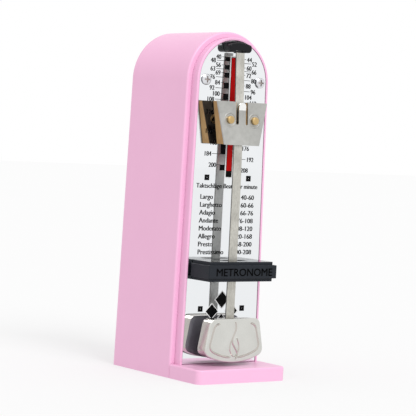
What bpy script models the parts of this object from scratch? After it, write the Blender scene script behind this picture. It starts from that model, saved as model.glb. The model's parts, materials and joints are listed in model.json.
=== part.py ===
"""A wind-up pendulum metronome in a slim arched plastic case, as separate working pieces.

Sizes are in millimetres and become metres in the helpers. X runs to the right as seen from the front, Y runs
from the front to the back, and Z runs up. The origin is on the table, on the centre line, in the plane of the
case's front edge, so the foot lies at negative Y and the movement at positive Y.
"""

from math import asin, atan2, copysign, cos, pi, radians, sin, sqrt, tan

import bmesh
import bpy
from mathutils import Matrix, Vector

MM = 0.001

# Case
CASE_HEIGHT = 160.0
BASE_HALF_WIDTH = 25.15
ARCH_RADIUS = 23.1
CASE_DEPTH = 47.7
TOP_DEPTH = 46.0
CASE_WALL = 2.6
BACK_WALL = 2.2
FRONT_EDGE_RADIUS = 0.9
BACK_EDGE_RADIUS = 2.4
GAP = 0.3

# Front frame: a raised face inside the case opening, and the foot in front of it
FACE_FRONT = -4.3
FACE_INSET = CASE_WALL + GAP
FACE_BACK = 2.0
FACE_WALL = 2.0
FOOT_FRONT = -22.8
FOOT_HEIGHT = 6.5
FOOT_CORNER = 3.0
FOOT_EDGE = 0.8

# Fixings: places are (X, Z) on upright faces and (X, Y) underneath, and each has a twin at negative X
BASE_SCREW_X = 20.3
BASE_SCREW_DEPTHS = (12.5, 41.0)
BACK_SCREW = (15.0, 112.0)
BOSS_BACK = 8.0
BRIDGE_SCREW_X = 10.5
LOWER_BRIDGE_HEIGHT = 11.0
PILOT_RADIUS = 1.1
SCREW_SHANK = 0.8
FRONT_PAD = (18.0, -14.0)
REAR_PAD = (11.5, 38.0)
PAD_RADIUS = 4.0
PAD_HOLE = 4.3
SOUND_PORT = (10.5, 16.0, 28.5)

# Scale plate
PLATE_FRONT = -4.0
PLATE_BACK = -3.4
PLATE_INSET = 4.1
PLATE_BOTTOM = 6.8
PLATE_SCREW = (15.5, 137.3)

# Guard bar and clip
BAR_FRONT = -19.3
BAR_HALF_WIDTH = 19.4
BAR_LOW = 47.3
BAR_HIGH = 53.4
BAR_BELT = 1.4
BAR_EDGE = 1.5
BAR_WALL = 1.2
BAR_ROOF = 1.2
ROD_SLOT_HALF = 7.2
ROD_SLOT_FRONT = -13.3
ROD_SLOT_BACK = -8.4
CLIP_FRONT = -9.0
CLIP_HALF_WIDTH = 6.4
CLIP_BOTTOM = 150.5

# Pendulum
PIVOT_HEIGHT = 50.0
STAFF_RADIUS = 0.9
ROD_HALF_WIDTH = 2.35
ROD_THICKNESS = 0.8
ROD_FRONT = -10.9
ROD_TOP = 150.35
ROD_BOTTOM = 14.0
ROD_BEND_START = 78.0
ROD_BEND = 2.2
BOB_FRONT = -15.3
BOB_BACK = -7.7
BOB_COVER = 0.6
BOB_TOP = 28.6
BOB_HALF_TOP = 13.9
BOB_CORNER = 12.4
BOB_HALF_LOW = 16.9
BOB_SAG = 4.1

# Tempo slider
SLIDER_TOP = 127.8
SLIDER_BOTTOM = 108.0
SLIDER_TOP_HALF = 14.3
SLIDER_BOTTOM_HALF = 9.9
SLIDER_FRONT = -12.0
SLIDER_SHEET = 0.8
SLIDER_LEAN = 1.3
SLIDER_RIVET = (7.0, 119.4)
SLIDER_SLOT_LOW = 117.3
SLIDER_TONGUE_HALF = 2.0
SLIDER_SLOT_RIGHT = 3.2
SLIDER_SLOT_LEFT = 3.6
STRAP_TOP = 113.0
STRAP_FRONT = -8.2
SLIDER_BACK_LOW = -6.8
SLIDER_BACK_HIGH = -8.3

# Movement: arbors run along X between two side plates
PLATE_X = 15.4
PLATE_THICKNESS = 1.2
BARREL_AXIS = (25.0, 21.0)
CROWN_AXIS = (21.0, PIVOT_HEIGHT)
CLICK_AXIS = (34.5, 28.0)
PILLARS = ((12.4, 60.4), (34.0, 60.4), (13.2, 8.6), (38.6, 8.6))
BARREL_TEETH = 60
BARREL_MODULE = 0.5
SECOND_PINION_TEETH = 10
SECOND_TEETH = 54
SECOND_MODULE = 0.4
CROWN_PINION_TEETH = 8
CROWN_TEETH = 15
CROWN_RADIUS = 7.0
CROWN_TIP_X = 2.6
PALLET_REACH = 2.2
RATCHET_TEETH = 20
RATCHET_X = 17.0
RATCHET_TIP = 6.2
CLICK_GAP = 0.35
ARBOR_RADIUS = 0.9
WINDING_RADIUS = 1.6
KEY_X = 25.8

# Worked out from the sizes above
ARCH_CENTRE = CASE_HEIGHT - ARCH_RADIUS
SIDE_LEAN = atan2(BASE_HALF_WIDTH - ARCH_RADIUS, ARCH_CENTRE)
BACK_LEAN = (CASE_DEPTH - TOP_DEPTH) / CASE_HEIGHT

COLOURS = {
    "pink_plastic": ((0.83, 0.45, 0.64), 0.35, 0.0),
    "black_plastic": ((0.02, 0.022, 0.028), 0.55, 0.0),
    "mirror_steel": ((0.88, 0.89, 0.9), 0.08, 1.0),
    "nickel": ((0.68, 0.67, 0.64), 0.32, 1.0),
    "steel": ((0.55, 0.55, 0.56), 0.35, 1.0),
    "brass": ((0.72, 0.53, 0.26), 0.3, 1.0),
    "spring_steel": ((0.2, 0.22, 0.27), 0.3, 1.0),
    "rubber": ((0.03, 0.03, 0.03), 0.9, 0.0),
}


def clear_scene():
    for obj in list(bpy.data.objects):
        bpy.data.objects.remove(obj, do_unlink=True)


def new_collection(name, hidden=False):
    collection = bpy.data.collections.new(name)
    collection.hide_render = hidden
    bpy.context.scene.collection.children.link(collection)
    return collection


def make_materials():
    made = {}
    for name, (colour, roughness, metallic) in COLOURS.items():
        material = bpy.data.materials.new(name)
        material.use_nodes = True
        shader = material.node_tree.nodes["Principled BSDF"]
        shader.inputs["Base Color"].default_value = (*colour, 1.0)
        shader.inputs["Roughness"].default_value = roughness
        shader.inputs["Metallic"].default_value = metallic
        made[name] = material
    return made


clear_scene()
PARTS = new_collection("metronome")
CUTTERS = new_collection("cutters", hidden=True)
MATERIALS = make_materials()
PIVOTS = {}


def pivot(name, x, y, z):
    """An empty on a joint's axis, which the pieces of one moving body are parented to."""
    empty = bpy.data.objects.new(name + "_pivot", None)
    empty.empty_display_size = 5 * MM
    empty.location = (x * MM, y * MM, z * MM)
    PARTS.objects.link(empty)
    PIVOTS[name] = empty


def part(name, mesh, material, body=None, location=(0, 0, 0), turn=(0, 0, 0)):
    obj = bpy.data.objects.new(name, mesh)
    PARTS.objects.link(obj)
    obj.location = Vector(location) * MM
    obj.rotation_euler = turn
    if material not in [slot.name for slot in mesh.materials if slot]:
        mesh.materials.append(MATERIALS[material])
    mesh.shade_smooth()
    mesh.set_sharp_from_angle(angle=radians(32))
    if body:
        obj.parent = PIVOTS[body]
        obj.matrix_parent_inverse = Matrix.Translation(-PIVOTS[body].location)
    return obj


def helper(mesh, name):
    obj = bpy.data.objects.new(name, mesh)
    obj.hide_render = True
    obj.display_type = "WIRE"
    CUTTERS.objects.link(obj)
    return obj


def combine(obj, mesh, operation):
    modifier = obj.modifiers.new(operation.lower(), "BOOLEAN")
    modifier.operation = operation
    modifier.solver = "EXACT"
    modifier.object = helper(mesh, f"{obj.name}_{operation.lower()}")


def together(meshes):
    """Several solids that lie apart, as one mesh."""
    shape = bmesh.new()
    for mesh in meshes:
        shape.from_mesh(mesh)
    joined = bpy.data.meshes.new("group")
    shape.to_mesh(joined)
    shape.free()
    return joined


def cut(obj, *meshes):
    """Cuts the shapes out of the object in one go; they must lie apart from each other."""
    combine(obj, together(meshes), "DIFFERENCE")


def join(obj, *meshes):
    """Adds the shapes to the object in one go; they must lie apart from each other."""
    combine(obj, together(meshes), "UNION")


def standing(u, v, w, axis):
    """A point of a flat shape (u, v), at w along the axis that the shape is extruded on."""
    return {"X": (w, u, v), "Y": (u, w, v), "Z": (u, v, w)}[axis]


def prism(outlines, start, end, axis="Y"):
    """A flat outline, with holes where the later outlines lie inside it, extruded from start to end."""
    curve = bpy.data.curves.new("outline", "CURVE")
    curve.dimensions = "2D"
    curve.fill_mode = "BOTH"
    curve.extrude = (end - start) / 2 * MM
    for outline in outlines:
        spline = curve.splines.new("POLY")
        spline.points.add(len(outline) - 1)
        spline.use_cyclic_u = True
        for point, (u, v) in zip(spline.points, outline):
            point.co = (u * MM, v * MM, 0, 1)
    guide = bpy.data.objects.new("outline", curve)
    CUTTERS.objects.link(guide)
    graph = bpy.context.evaluated_depsgraph_get()
    mesh = bpy.data.meshes.new_from_object(guide.evaluated_get(graph))
    bpy.data.objects.remove(guide)
    middle = (start + end) / 2 * MM
    for vertex in mesh.vertices:
        u, v, w = vertex.co
        vertex.co = standing(u, v, w + middle, axis)
    return cleaned(mesh)


def cleaned(mesh):
    """The mesh with its caps welded to its sides, flat areas in one face, and its faces pointing out."""
    shape = bmesh.new()
    shape.from_mesh(mesh)
    bmesh.ops.remove_doubles(shape, verts=shape.verts, dist=1e-6)
    bmesh.ops.dissolve_limit(shape, angle_limit=radians(0.1), verts=shape.verts, edges=shape.edges)
    bmesh.ops.recalc_face_normals(shape, faces=shape.faces)
    shape.to_mesh(mesh)
    shape.free()
    return mesh


def rounded(mesh, width, segments, chosen):
    """The mesh with the chosen edges rounded; chosen gets an edge's two ends in millimetres."""
    shape = bmesh.new()
    shape.from_mesh(mesh)
    edges = [edge for edge in shape.edges if chosen(*[vertex.co / MM for vertex in edge.verts])]
    size = {"offset": width * MM, "segments": segments, "profile": 0.5}
    bmesh.ops.bevel(shape, geom=edges, affect="EDGES", clamp_overlap=True, **size)
    shape.to_mesh(mesh)
    shape.free()
    return mesh


def in_plane(axis, value, reach=0.01):
    """Chooses the edges whose ends both lie at this value along the axis."""
    index = "XYZ".index(axis)
    return lambda a, b: max(abs(a[index] - value), abs(b[index] - value)) < reach


def cylinder(radius, start, end, centre=(0, 0), axis="Y", sides=16, far_radius=None):
    """A round bar from start to end along the axis; centre is its other two coordinates, in X, Y, Z order."""
    shape = bmesh.new()
    far = radius if far_radius is None else far_radius
    bmesh.ops.create_cone(
        shape, cap_ends=True, segments=sides, radius1=radius * MM, radius2=far * MM, depth=(end - start) * MM
    )
    middle = (start + end) / 2
    for vertex in shape.verts:
        u, v, w = vertex.co / MM
        vertex.co = Vector(standing(u + centre[0], v + centre[1], w + middle, axis)) * MM
    shape.normal_update()
    bmesh.ops.recalc_face_normals(shape, faces=shape.faces)
    mesh = bpy.data.meshes.new("bar")
    shape.to_mesh(mesh)
    shape.free()
    return mesh


def block(low, high):
    """A box between two corners."""
    shape = bmesh.new()
    bmesh.ops.create_cube(shape, size=1.0)
    for vertex in shape.verts:
        vertex.co = Vector([(a + b) / 2 + c * (b - a) for a, b, c in zip(low, high, vertex.co)]) * MM
    mesh = bpy.data.meshes.new("block")
    shape.to_mesh(mesh)
    shape.free()
    return mesh


def turned_part(name, profile, material, steps=20, **placing):
    """A piece turned about its own Z axis from (radius, height) points that run from top to bottom."""
    shape = bmesh.new()
    points = [shape.verts.new((radius * MM, 0, height * MM)) for radius, height in profile]
    for first, second in zip(points, points[1:]):
        shape.edges.new((first, second))
    mesh = bpy.data.meshes.new("profile")
    shape.to_mesh(mesh)
    shape.free()
    obj = part(name, mesh, material, **placing)
    screw = obj.modifiers.new("turn", "SCREW")
    screw.steps = steps
    screw.render_steps = steps
    screw.use_merge_vertices = True
    screw.merge_threshold = 1e-6
    screw.use_smooth_shade = True
    return obj


def circle(radius, centre=(0, 0), sides=16, start=0.0, end=2 * pi):
    """Points round a circle, or along an arc when start and end aren't a full turn apart."""
    full = abs(end - start - 2 * pi) < 1e-6
    step = (end - start) / sides
    angles = [start + i * step for i in range(sides if full else sides + 1)]
    return [(centre[0] + radius * cos(angle), centre[1] + radius * sin(angle)) for angle in angles]


def box_outline(left, low, right, high, corners=(0, 0, 0, 0), steps=4):
    """A rectangle with round corners, given as radii from the lower left one anticlockwise."""
    places = ((left, low, 1, 1), (right, low, -1, 1), (right, high, -1, -1), (left, high, 1, -1))
    points = []
    for i, ((u, v, inward_u, inward_v), radius) in enumerate(zip(places, corners)):
        if radius == 0:
            points.append((u, v))
            continue
        centre = (u + inward_u * radius, v + inward_v * radius)
        begin = pi + i * pi / 2
        points += circle(radius, centre, steps, begin, begin + pi / 2)
    return points


def half_width(z, inset=0.0):
    """Half the case's width at height z, on the straight part of its leaning side."""
    return (ARCH_RADIUS - inset) / cos(SIDE_LEAN) + (ARCH_CENTRE - z) * tan(SIDE_LEAN)


def case_outline(inset, bottom, steps=27):
    """The case's front outline moved in by inset: leaning sides under a round arch."""
    low = half_width(bottom, inset)
    arch = circle(ARCH_RADIUS - inset, (0, ARCH_CENTRE), steps, SIDE_LEAN, pi - SIDE_LEAN)
    return [(-low, bottom), (low, bottom)] + arch


def lean_back(mesh):
    """Moves the far face forward with height, because the case is slightly deeper at its foot."""
    for vertex in mesh.vertices:
        if vertex.co.y > CASE_DEPTH / 2 * MM:
            vertex.co.y -= BACK_LEAN * vertex.co.z
    return mesh


def gear_outline(teeth, module, centre, phase=0.0):
    """A spur gear with straight-flanked teeth, slim enough to run with backlash."""
    pitch = teeth * module / 2
    step = 2 * pi / teeth
    root = pitch - 1.15 * module
    tip = pitch + 0.85 * module
    points = []
    for tooth in range(teeth):
        for share, radius in ((-0.27, root), (-0.11, tip), (0.11, tip), (0.27, root)):
            angle = phase + (tooth + share) * step
            points.append((centre[0] + radius * cos(angle), centre[1] + radius * sin(angle)))
    return points


def ratchet_outline(teeth, tip, root, centre):
    """A wheel of saw teeth that lets the key turn one way only."""
    step = 2 * pi / teeth
    points = []
    for tooth in range(teeth):
        for share, radius in ((0.0, root), (0.06, tip), (0.2, tip), (0.9, root)):
            angle = (tooth + share) * step
            points.append((centre[0] + radius * cos(angle), centre[1] + radius * sin(angle)))
    return points


def second_axis():
    """The second arbor's place: its pinion meets the barrel, and its wheel the crown wheel's pinion."""
    reach = (BARREL_TEETH + SECOND_PINION_TEETH) * BARREL_MODULE / 2
    next_reach = (SECOND_TEETH + CROWN_PINION_TEETH) * SECOND_MODULE / 2
    along = Vector(CROWN_AXIS) - Vector(BARREL_AXIS)
    distance = along.length
    along.normalize()
    forward = (reach**2 - next_reach**2 + distance**2) / (2 * distance)
    aside = sqrt(reach**2 - forward**2)
    point = Vector(BARREL_AXIS) + along * forward + Vector((along.y, -along.x)) * aside
    return point.x, point.y


SECOND_AXIS = second_axis()


def line_angle(start, end):
    return atan2(end[1] - start[1], end[0] - start[0])


# --- Case ---------------------------------------------------------------------------------------------------


def rear_casing():
    shell = lean_back(prism([case_outline(0, 0)], 0, CASE_DEPTH))
    on_front = in_plane("Y", 0)

    def front_edge(a, b):
        return on_front(a, b) and max(a.z, b.z) > 0.01

    def back_edge(a, b):
        return min(a.y, b.y) > TOP_DEPTH - 0.1 and max(a.z, b.z) > 0.01

    rounded(shell, BACK_EDGE_RADIUS, 4, back_edge)
    rounded(shell, FRONT_EDGE_RADIUS, 3, front_edge)
    casing = part("rear_casing", shell, "pink_plastic")
    cut(casing, lean_back(prism([case_outline(CASE_WALL, -5, 24)], -5, CASE_DEPTH - BACK_WALL)))
    corners = [(side * BASE_SCREW_X, depth) for side in (-1, 1) for depth in BASE_SCREW_DEPTHS]
    join(casing, *[cylinder(2.3, 2.9, 11.0, (x + copysign(0.3, x), depth), "Z", 14) for x, depth in corners])
    holes = [cylinder(PILOT_RADIUS, 2.0, 9.0, corner, "Z", 10) for corner in corners]
    for side in (-1, 1):
        place = (side * BACK_SCREW[0], BACK_SCREW[1])
        holes.append(cylinder(1.5, CASE_DEPTH - 5, CASE_DEPTH + 5, place, "Y", 14))
    holes.append(cylinder(4.2, 20, 30, BARREL_AXIS, "X", 24))
    cut(casing, *holes)


def foot():
    """The slab in front of the case, with a tongue that runs back inside the case opening."""
    wide = half_width(0, FACE_INSET) - GAP
    corners = (FOOT_CORNER, FOOT_CORNER, 0, 0)
    outline = box_outline(-BASE_HALF_WIDTH, FOOT_FRONT, BASE_HALF_WIDTH, -GAP, corners, 6)
    tongue_back = BOSS_BACK - 0.2
    tongue = [(wide, -GAP), (wide, tongue_back), (-wide, tongue_back), (-wide, -GAP)]
    outline[-1:-1] = tongue
    slab = prism([outline], 0, FOOT_HEIGHT, "Z")
    return rounded(slab, FOOT_EDGE, 3, lambda a, b: min(a.z, b.z) > FOOT_HEIGHT - 0.1 and max(a.y, b.y) < 0)


def front_frame():
    face = prism([case_outline(FACE_INSET, 1.0)], FACE_FRONT, FACE_BACK)
    frame = part("front_frame", rounded(face, 0.45, 2, in_plane("Y", FACE_FRONT)), "pink_plastic")
    recess = prism([case_outline(PLATE_INSET - 0.3, FOOT_HEIGHT - 0.6, 24)], FACE_FRONT - 3, PLATE_BACK + 0.3)
    hollow = prism([case_outline(FACE_INSET + FACE_WALL, 3.0, 22)], -0.8, FACE_BACK + 3)
    cut(frame, recess, hollow)
    join(frame, foot())
    boss_front = -1.6
    bosses, holes = [], [cylinder(2.2, -8, 3, (0, PIVOT_HEIGHT), "Y", 16)]
    for side in (-1, 1):
        for z in (LOWER_BRIDGE_HEIGHT, PIVOT_HEIGHT):
            place = (side * BRIDGE_SCREW_X, z)
            bosses.append(cylinder(2.6, boss_front, BOSS_BACK + 0.2, place, "Y", 12))
            holes.append(cylinder(PILOT_RADIUS, 2.0, BOSS_BACK + 3, place, "Y", 10))
        place = (side * PLATE_SCREW[0], PLATE_SCREW[1])
        bosses.append(cylinder(2.2, boss_front, 3.0, place, "Y", 12))
        holes.append(cylinder(1.2, -6, 4.0, place, "Y", 10))
        place = (side * BACK_SCREW[0], BACK_SCREW[1])
        bosses.append(cylinder(2.4, boss_front, 44.0, place, "Y", 12))
        holes.append(cylinder(PILOT_RADIUS, 34.0, 46.0, place, "Y", 10))
        holes.append(cylinder(PAD_HOLE, -2, 1.3, (side * FRONT_PAD[0], FRONT_PAD[1]), "Z", 16))
    join(frame, *bosses)
    cut(frame, *holes)


def bottom_cover():
    """The panel under the movement, with a port that lets the beat out and two raised seats for the pads."""
    wide = half_width(0, CASE_WALL) - GAP
    outline = box_outline(-wide, BOSS_BACK + GAP, wide, CASE_DEPTH - BACK_WALL - GAP, (0.8, 0.8, 0.8, 0.8), 3)
    holes = [circle(1.3, (side * BASE_SCREW_X, depth), 12) for side in (-1, 1) for depth in BASE_SCREW_DEPTHS]
    port_half, port_front, port_back = SOUND_PORT
    holes.append(box_outline(-port_half, port_front, port_half, port_back, (1.5, 1.5, 1.5, 1.5), 3))
    cover = part("bottom_cover", prism([outline] + holes, 0.7, 2.5, "Z"), "pink_plastic")
    pads = [(side * REAR_PAD[0], REAR_PAD[1]) for side in (-1, 1)]
    join(cover, *[cylinder(PAD_HOLE + 1.7, 1.5, 3.6, place, "Z", 16) for place in pads])
    cut(cover, *[cylinder(PAD_HOLE, -1, 1.8, place, "Z", 16) for place in pads])


def pan_screw(name, head, height, length, material, shank=SCREW_SHANK, **placing):
    """A cross-headed screw along its own Z axis, with the underside of its head at zero."""
    profile = ((0, height), (head * 0.6, height * 0.9), (head, height * 0.3), (head, 0))
    profile += ((shank, 0), (shank, -length + shank), (0, -length))
    screw = turned_part(name, profile, material, 10, **placing)
    long_side, tip, waist = head * 0.55, 0.2, 0.25
    cross = []
    for u, v in ((1, 1), (-1, 1), (-1, -1), (1, -1)):
        arms = [(u * long_side, v * tip), (u * waist, v * waist), (u * tip, v * long_side)]
        cross += arms if u * v > 0 else arms[::-1]
    combine(screw, prism([cross], height * 0.4, height + 1, "Z"), "DIFFERENCE")
    screw.modifiers["difference"].object.parent = screw
    return screw


FACING_FRONT = (pi / 2, 0, 0)
FACING_BACK = (-pi / 2, 0, 0)
FACING_DOWN = (pi, 0, 0)
FACING_RIGHT = (0, pi / 2, 0)


def case_screws():
    number = 1
    for side in (-1, 1):
        for depth in BASE_SCREW_DEPTHS:
            place = (side * BASE_SCREW_X, depth, 0.65)
            pan_screw(f"base_screw_{number}", 1.9, 0.6, 7, "steel", location=place, turn=FACING_DOWN)
            number += 1
    back = CASE_DEPTH - BACK_LEAN * BACK_SCREW[1]
    for side, word in ((-1, "left"), (1, "right")):
        place = (side * BACK_SCREW[0], back + 0.1, BACK_SCREW[1])
        pan_screw(f"back_screw_{word}", 2.6, 1.3, 10, "steel", location=place, turn=FACING_BACK)
        place = (side * PLATE_SCREW[0], PLATE_FRONT - GAP, PLATE_SCREW[1])
        pan_screw(f"plate_screw_{word}", 2.5, 1.0, 6, "nickel", location=place, turn=FACING_FRONT)


def rubber_feet():
    places = [(side * x, y) for x, y in (FRONT_PAD, REAR_PAD) for side in (-1, 1)]
    for number, place in enumerate(places, 1):
        part(f"rubber_foot_{number}", cylinder(PAD_RADIUS, 0, 1.0, place, "Z", 16), "rubber")


def scale_plate():
    holes = [circle(1.3, (side * PLATE_SCREW[0], PLATE_SCREW[1]), 12) for side in (-1, 1)]
    holes.append(circle(2.4, (0, PIVOT_HEIGHT), 16))
    outline = case_outline(PLATE_INSET, PLATE_BOTTOM)
    part("scale_plate", prism([outline] + holes, PLATE_FRONT, PLATE_BACK), "mirror_steel")


def pendulum_clip():
    """A black clip at the top of the plate, with a notch over the rod's tip and round lower corners."""
    radius = ARCH_RADIUS - PLATE_INSET - 0.1
    side = atan2(sqrt(radius**2 - CLIP_HALF_WIDTH**2), CLIP_HALF_WIDTH)
    arch = circle(radius, (0, ARCH_CENTRE), 10, side, pi - side)
    corner = 1.2
    low_left = circle(corner, (corner - CLIP_HALF_WIDTH, CLIP_BOTTOM + corner), 4, pi, 1.5 * pi)
    low_right = [(-u, v) for u, v in reversed(low_left)]
    notch = [(-2.9, CLIP_BOTTOM), (-2.6, CLIP_BOTTOM + 0.7), (2.6, CLIP_BOTTOM + 0.7), (2.9, CLIP_BOTTOM)]
    mesh = prism([low_left + notch + low_right + arch], CLIP_FRONT, PLATE_FRONT - GAP)
    part("pendulum_clip", rounded(mesh, 0.5, 2, in_plane("Y", CLIP_FRONT)), "black_plastic")


def bar_outline(step_in, back):
    """The U shape of the guard bar seen from above, moved in by step_in; its legs end at back."""
    half, front = BAR_HALF_WIDTH - step_in, BAR_FRONT + step_in
    return [(-half, back), (-half, front), (half, front), (half, back)]


def guard_bar():
    """A hood open below, with a slot for the rod in its roof and a lower belt round its front and sides."""
    back = PLATE_FRONT - GAP
    inner = BAR_BELT + BAR_WALL
    low, high = BAR_LOW - BAR_EDGE, BAR_HIGH + BAR_EDGE
    hood = prism([bar_outline(BAR_BELT, back)], low, high, "Z")
    bar = part("guard_bar", rounded(hood, 0.3, 2, in_plane("Y", BAR_FRONT + BAR_BELT)), "black_plastic")
    hollow = prism([bar_outline(inner, back + 1)], low - 1, high - BAR_ROOF, "Z")
    slot = box_outline(-ROD_SLOT_HALF, ROD_SLOT_FRONT, ROD_SLOT_HALF, ROD_SLOT_BACK)
    cut(bar, hollow)
    cut(bar, prism([slot], high - BAR_ROOF - 1, high + 1, "Z"))
    belt_back = back - 0.6
    belt = bar_outline(0, belt_back) + bar_outline(inner - 0.4, belt_back)[::-1]
    join(bar, rounded(prism([belt], BAR_LOW, BAR_HIGH, "Z"), 0.4, 2, in_plane("Y", BAR_FRONT)))


# --- Pendulum -----------------------------------------------------------------------------------------------


def rod_setback(z):
    """How far the springy rod bows towards the case at height z."""
    share = min(1.0, max(0.0, (z - ROD_BEND_START) / (ROD_TOP - ROD_BEND_START)))
    return ROD_BEND * share**2


def pendulum_rod():
    heights = [ROD_BOTTOM] + [ROD_BEND_START + i * (ROD_TOP - ROD_BEND_START) / 10 for i in range(11)]
    front = [(ROD_FRONT + rod_setback(z), z) for z in heights]
    back = [(y + ROD_THICKNESS, z) for y, z in reversed(front)]
    strip = prism([front + back], -ROD_HALF_WIDTH, ROD_HALF_WIDTH, "X")
    rod = part("pendulum_rod", strip, "nickel", "pendulum")
    cut(rod, cylinder(1.2, ROD_FRONT - 3, ROD_FRONT + 3, (0, PIVOT_HEIGHT), "Y", 16))


def curve_points(start, control, end, steps):
    """Points along an arc that leaves start and reaches end in the directions of the control point."""
    points = []
    for i in range(steps + 1):
        share = i / steps
        weights = ((1 - share) ** 2, 2 * share * (1 - share), share**2)
        points.append(tuple(sum(w * p[k] for w, p in zip(weights, (start, control, end))) for k in (0, 1)))
    return points


def bob_outline(shrink=0.0):
    """The bob's front outline: a flat top, sides that spread downwards, a bowed bottom and soft corners."""
    top, low = BOB_TOP - shrink, BOB_CORNER + shrink
    half_top, half_low = BOB_HALF_TOP - shrink, BOB_HALF_LOW - shrink
    slope = (half_top - half_low) / (top - low)
    bow_radius = (half_low**2 + BOB_SAG**2) / (2 * BOB_SAG)
    limit = asin((half_low - 2.6) / bow_radius)
    bow = circle(bow_radius, (0, low - BOB_SAG + bow_radius), 12, -pi / 2 - limit, -pi / 2 + limit)
    lower = curve_points(bow[-1], (half_low, low), (half_low + 3.2 * slope, low + 3.2), 4)[1:]
    upper = curve_points((half_top - 3.0 * slope, top - 3.0), (half_top, top), (half_top - 3.0, top), 4)
    return bow + lower + upper + [(-u, v) for u, v in reversed(lower + upper)]


def bob():
    weight = prism([bob_outline(0.25)], BOB_FRONT + BOB_COVER + 0.25, BOB_BACK)
    rounded(weight, 0.5, 2, in_plane("Y", BOB_BACK))
    body = part("bob_weight", weight, "nickel", "pendulum")
    slot = ROD_HALF_WIDTH + GAP
    cut(body, block((-slot, ROD_FRONT - GAP, ROD_BOTTOM - 1), (slot, ROD_FRONT + ROD_THICKNESS + GAP, 40)))
    cover = prism([bob_outline()], BOB_FRONT, BOB_FRONT + BOB_COVER)
    part("bob_cover", rounded(cover, 0.25, 2, in_plane("Y", BOB_FRONT)), "nickel", "pendulum")


def staff():
    """The arbor that the pendulum turns on, from the hub nut in front to the bearing behind."""
    profile = ((0, 12.6), (STAFF_RADIUS, 12.3), (STAFF_RADIUS, -33.6), (0.6, -33.6), (0.6, -35.6), (0, -35.6))
    place = (0, 0, PIVOT_HEIGHT)
    turned_part("pendulum_staff", profile, "steel", 16, body="pendulum", location=place, turn=FACING_FRONT)
    bore = circle(STAFF_RADIUS + 0.2, (0, PIVOT_HEIGHT), 16)
    hub = prism([circle(3.0, (0, PIVOT_HEIGHT), 20), bore], -9.8, -6.0)
    part("pendulum_hub", hub, "brass", "pendulum")
    nut = prism([circle(2.5, (0, PIVOT_HEIGHT), 6), bore], -12.3, ROD_FRONT - GAP)
    part("hub_nut", nut, "steel", "pendulum")
    for word, middle, tilt in (("front", CROWN_AXIS[0] - 6.6, 1), ("rear", CROWN_AXIS[0] + 6.6, -1)):
        spread = radians(16)
        flag = [tilt * radians(48) + offset for offset in (-spread, 0, spread)]
        ring = circle(1.7, (0, PIVOT_HEIGHT), 16, flag[2], flag[0] + 2 * pi)
        tip = [(PALLET_REACH * cos(a), PIVOT_HEIGHT + PALLET_REACH * sin(a)) for a in flag]
        mesh = prism([ring + tip, bore], middle - 0.8, middle + 0.8)
        part(f"pallet_{word}", mesh, "steel", "pendulum")


# --- Tempo slider -------------------------------------------------------------------------------------------


def slider_half(z):
    share = (z - SLIDER_BOTTOM) / (SLIDER_TOP - SLIDER_BOTTOM)
    return SLIDER_BOTTOM_HALF + share * (SLIDER_TOP_HALF - SLIDER_BOTTOM_HALF)


def slider_lean(z):
    """How far forward the slider leans at height z."""
    return SLIDER_LEAN * (SLIDER_TOP - z) / (SLIDER_TOP - SLIDER_BOTTOM)


def sheet_outline():
    """A sheet that widens upwards, with a round-topped tongue between two slots."""
    outline = [(-SLIDER_BOTTOM_HALF, SLIDER_BOTTOM), (SLIDER_BOTTOM_HALF, SLIDER_BOTTOM)]
    outline += [(SLIDER_TOP_HALF, SLIDER_TOP), (SLIDER_SLOT_RIGHT, SLIDER_TOP)]
    outline += [(SLIDER_SLOT_RIGHT, SLIDER_SLOT_LOW), (SLIDER_TONGUE_HALF, SLIDER_SLOT_LOW)]
    outline += circle(SLIDER_TONGUE_HALF, (0, SLIDER_TOP - SLIDER_TONGUE_HALF - GAP), 8, 0, pi)
    outline += [(-SLIDER_TONGUE_HALF, SLIDER_SLOT_LOW), (-SLIDER_SLOT_LEFT, SLIDER_SLOT_LOW)]
    return outline + [(-SLIDER_SLOT_LEFT, SLIDER_TOP), (-SLIDER_TOP_HALF, SLIDER_TOP)]


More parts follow.
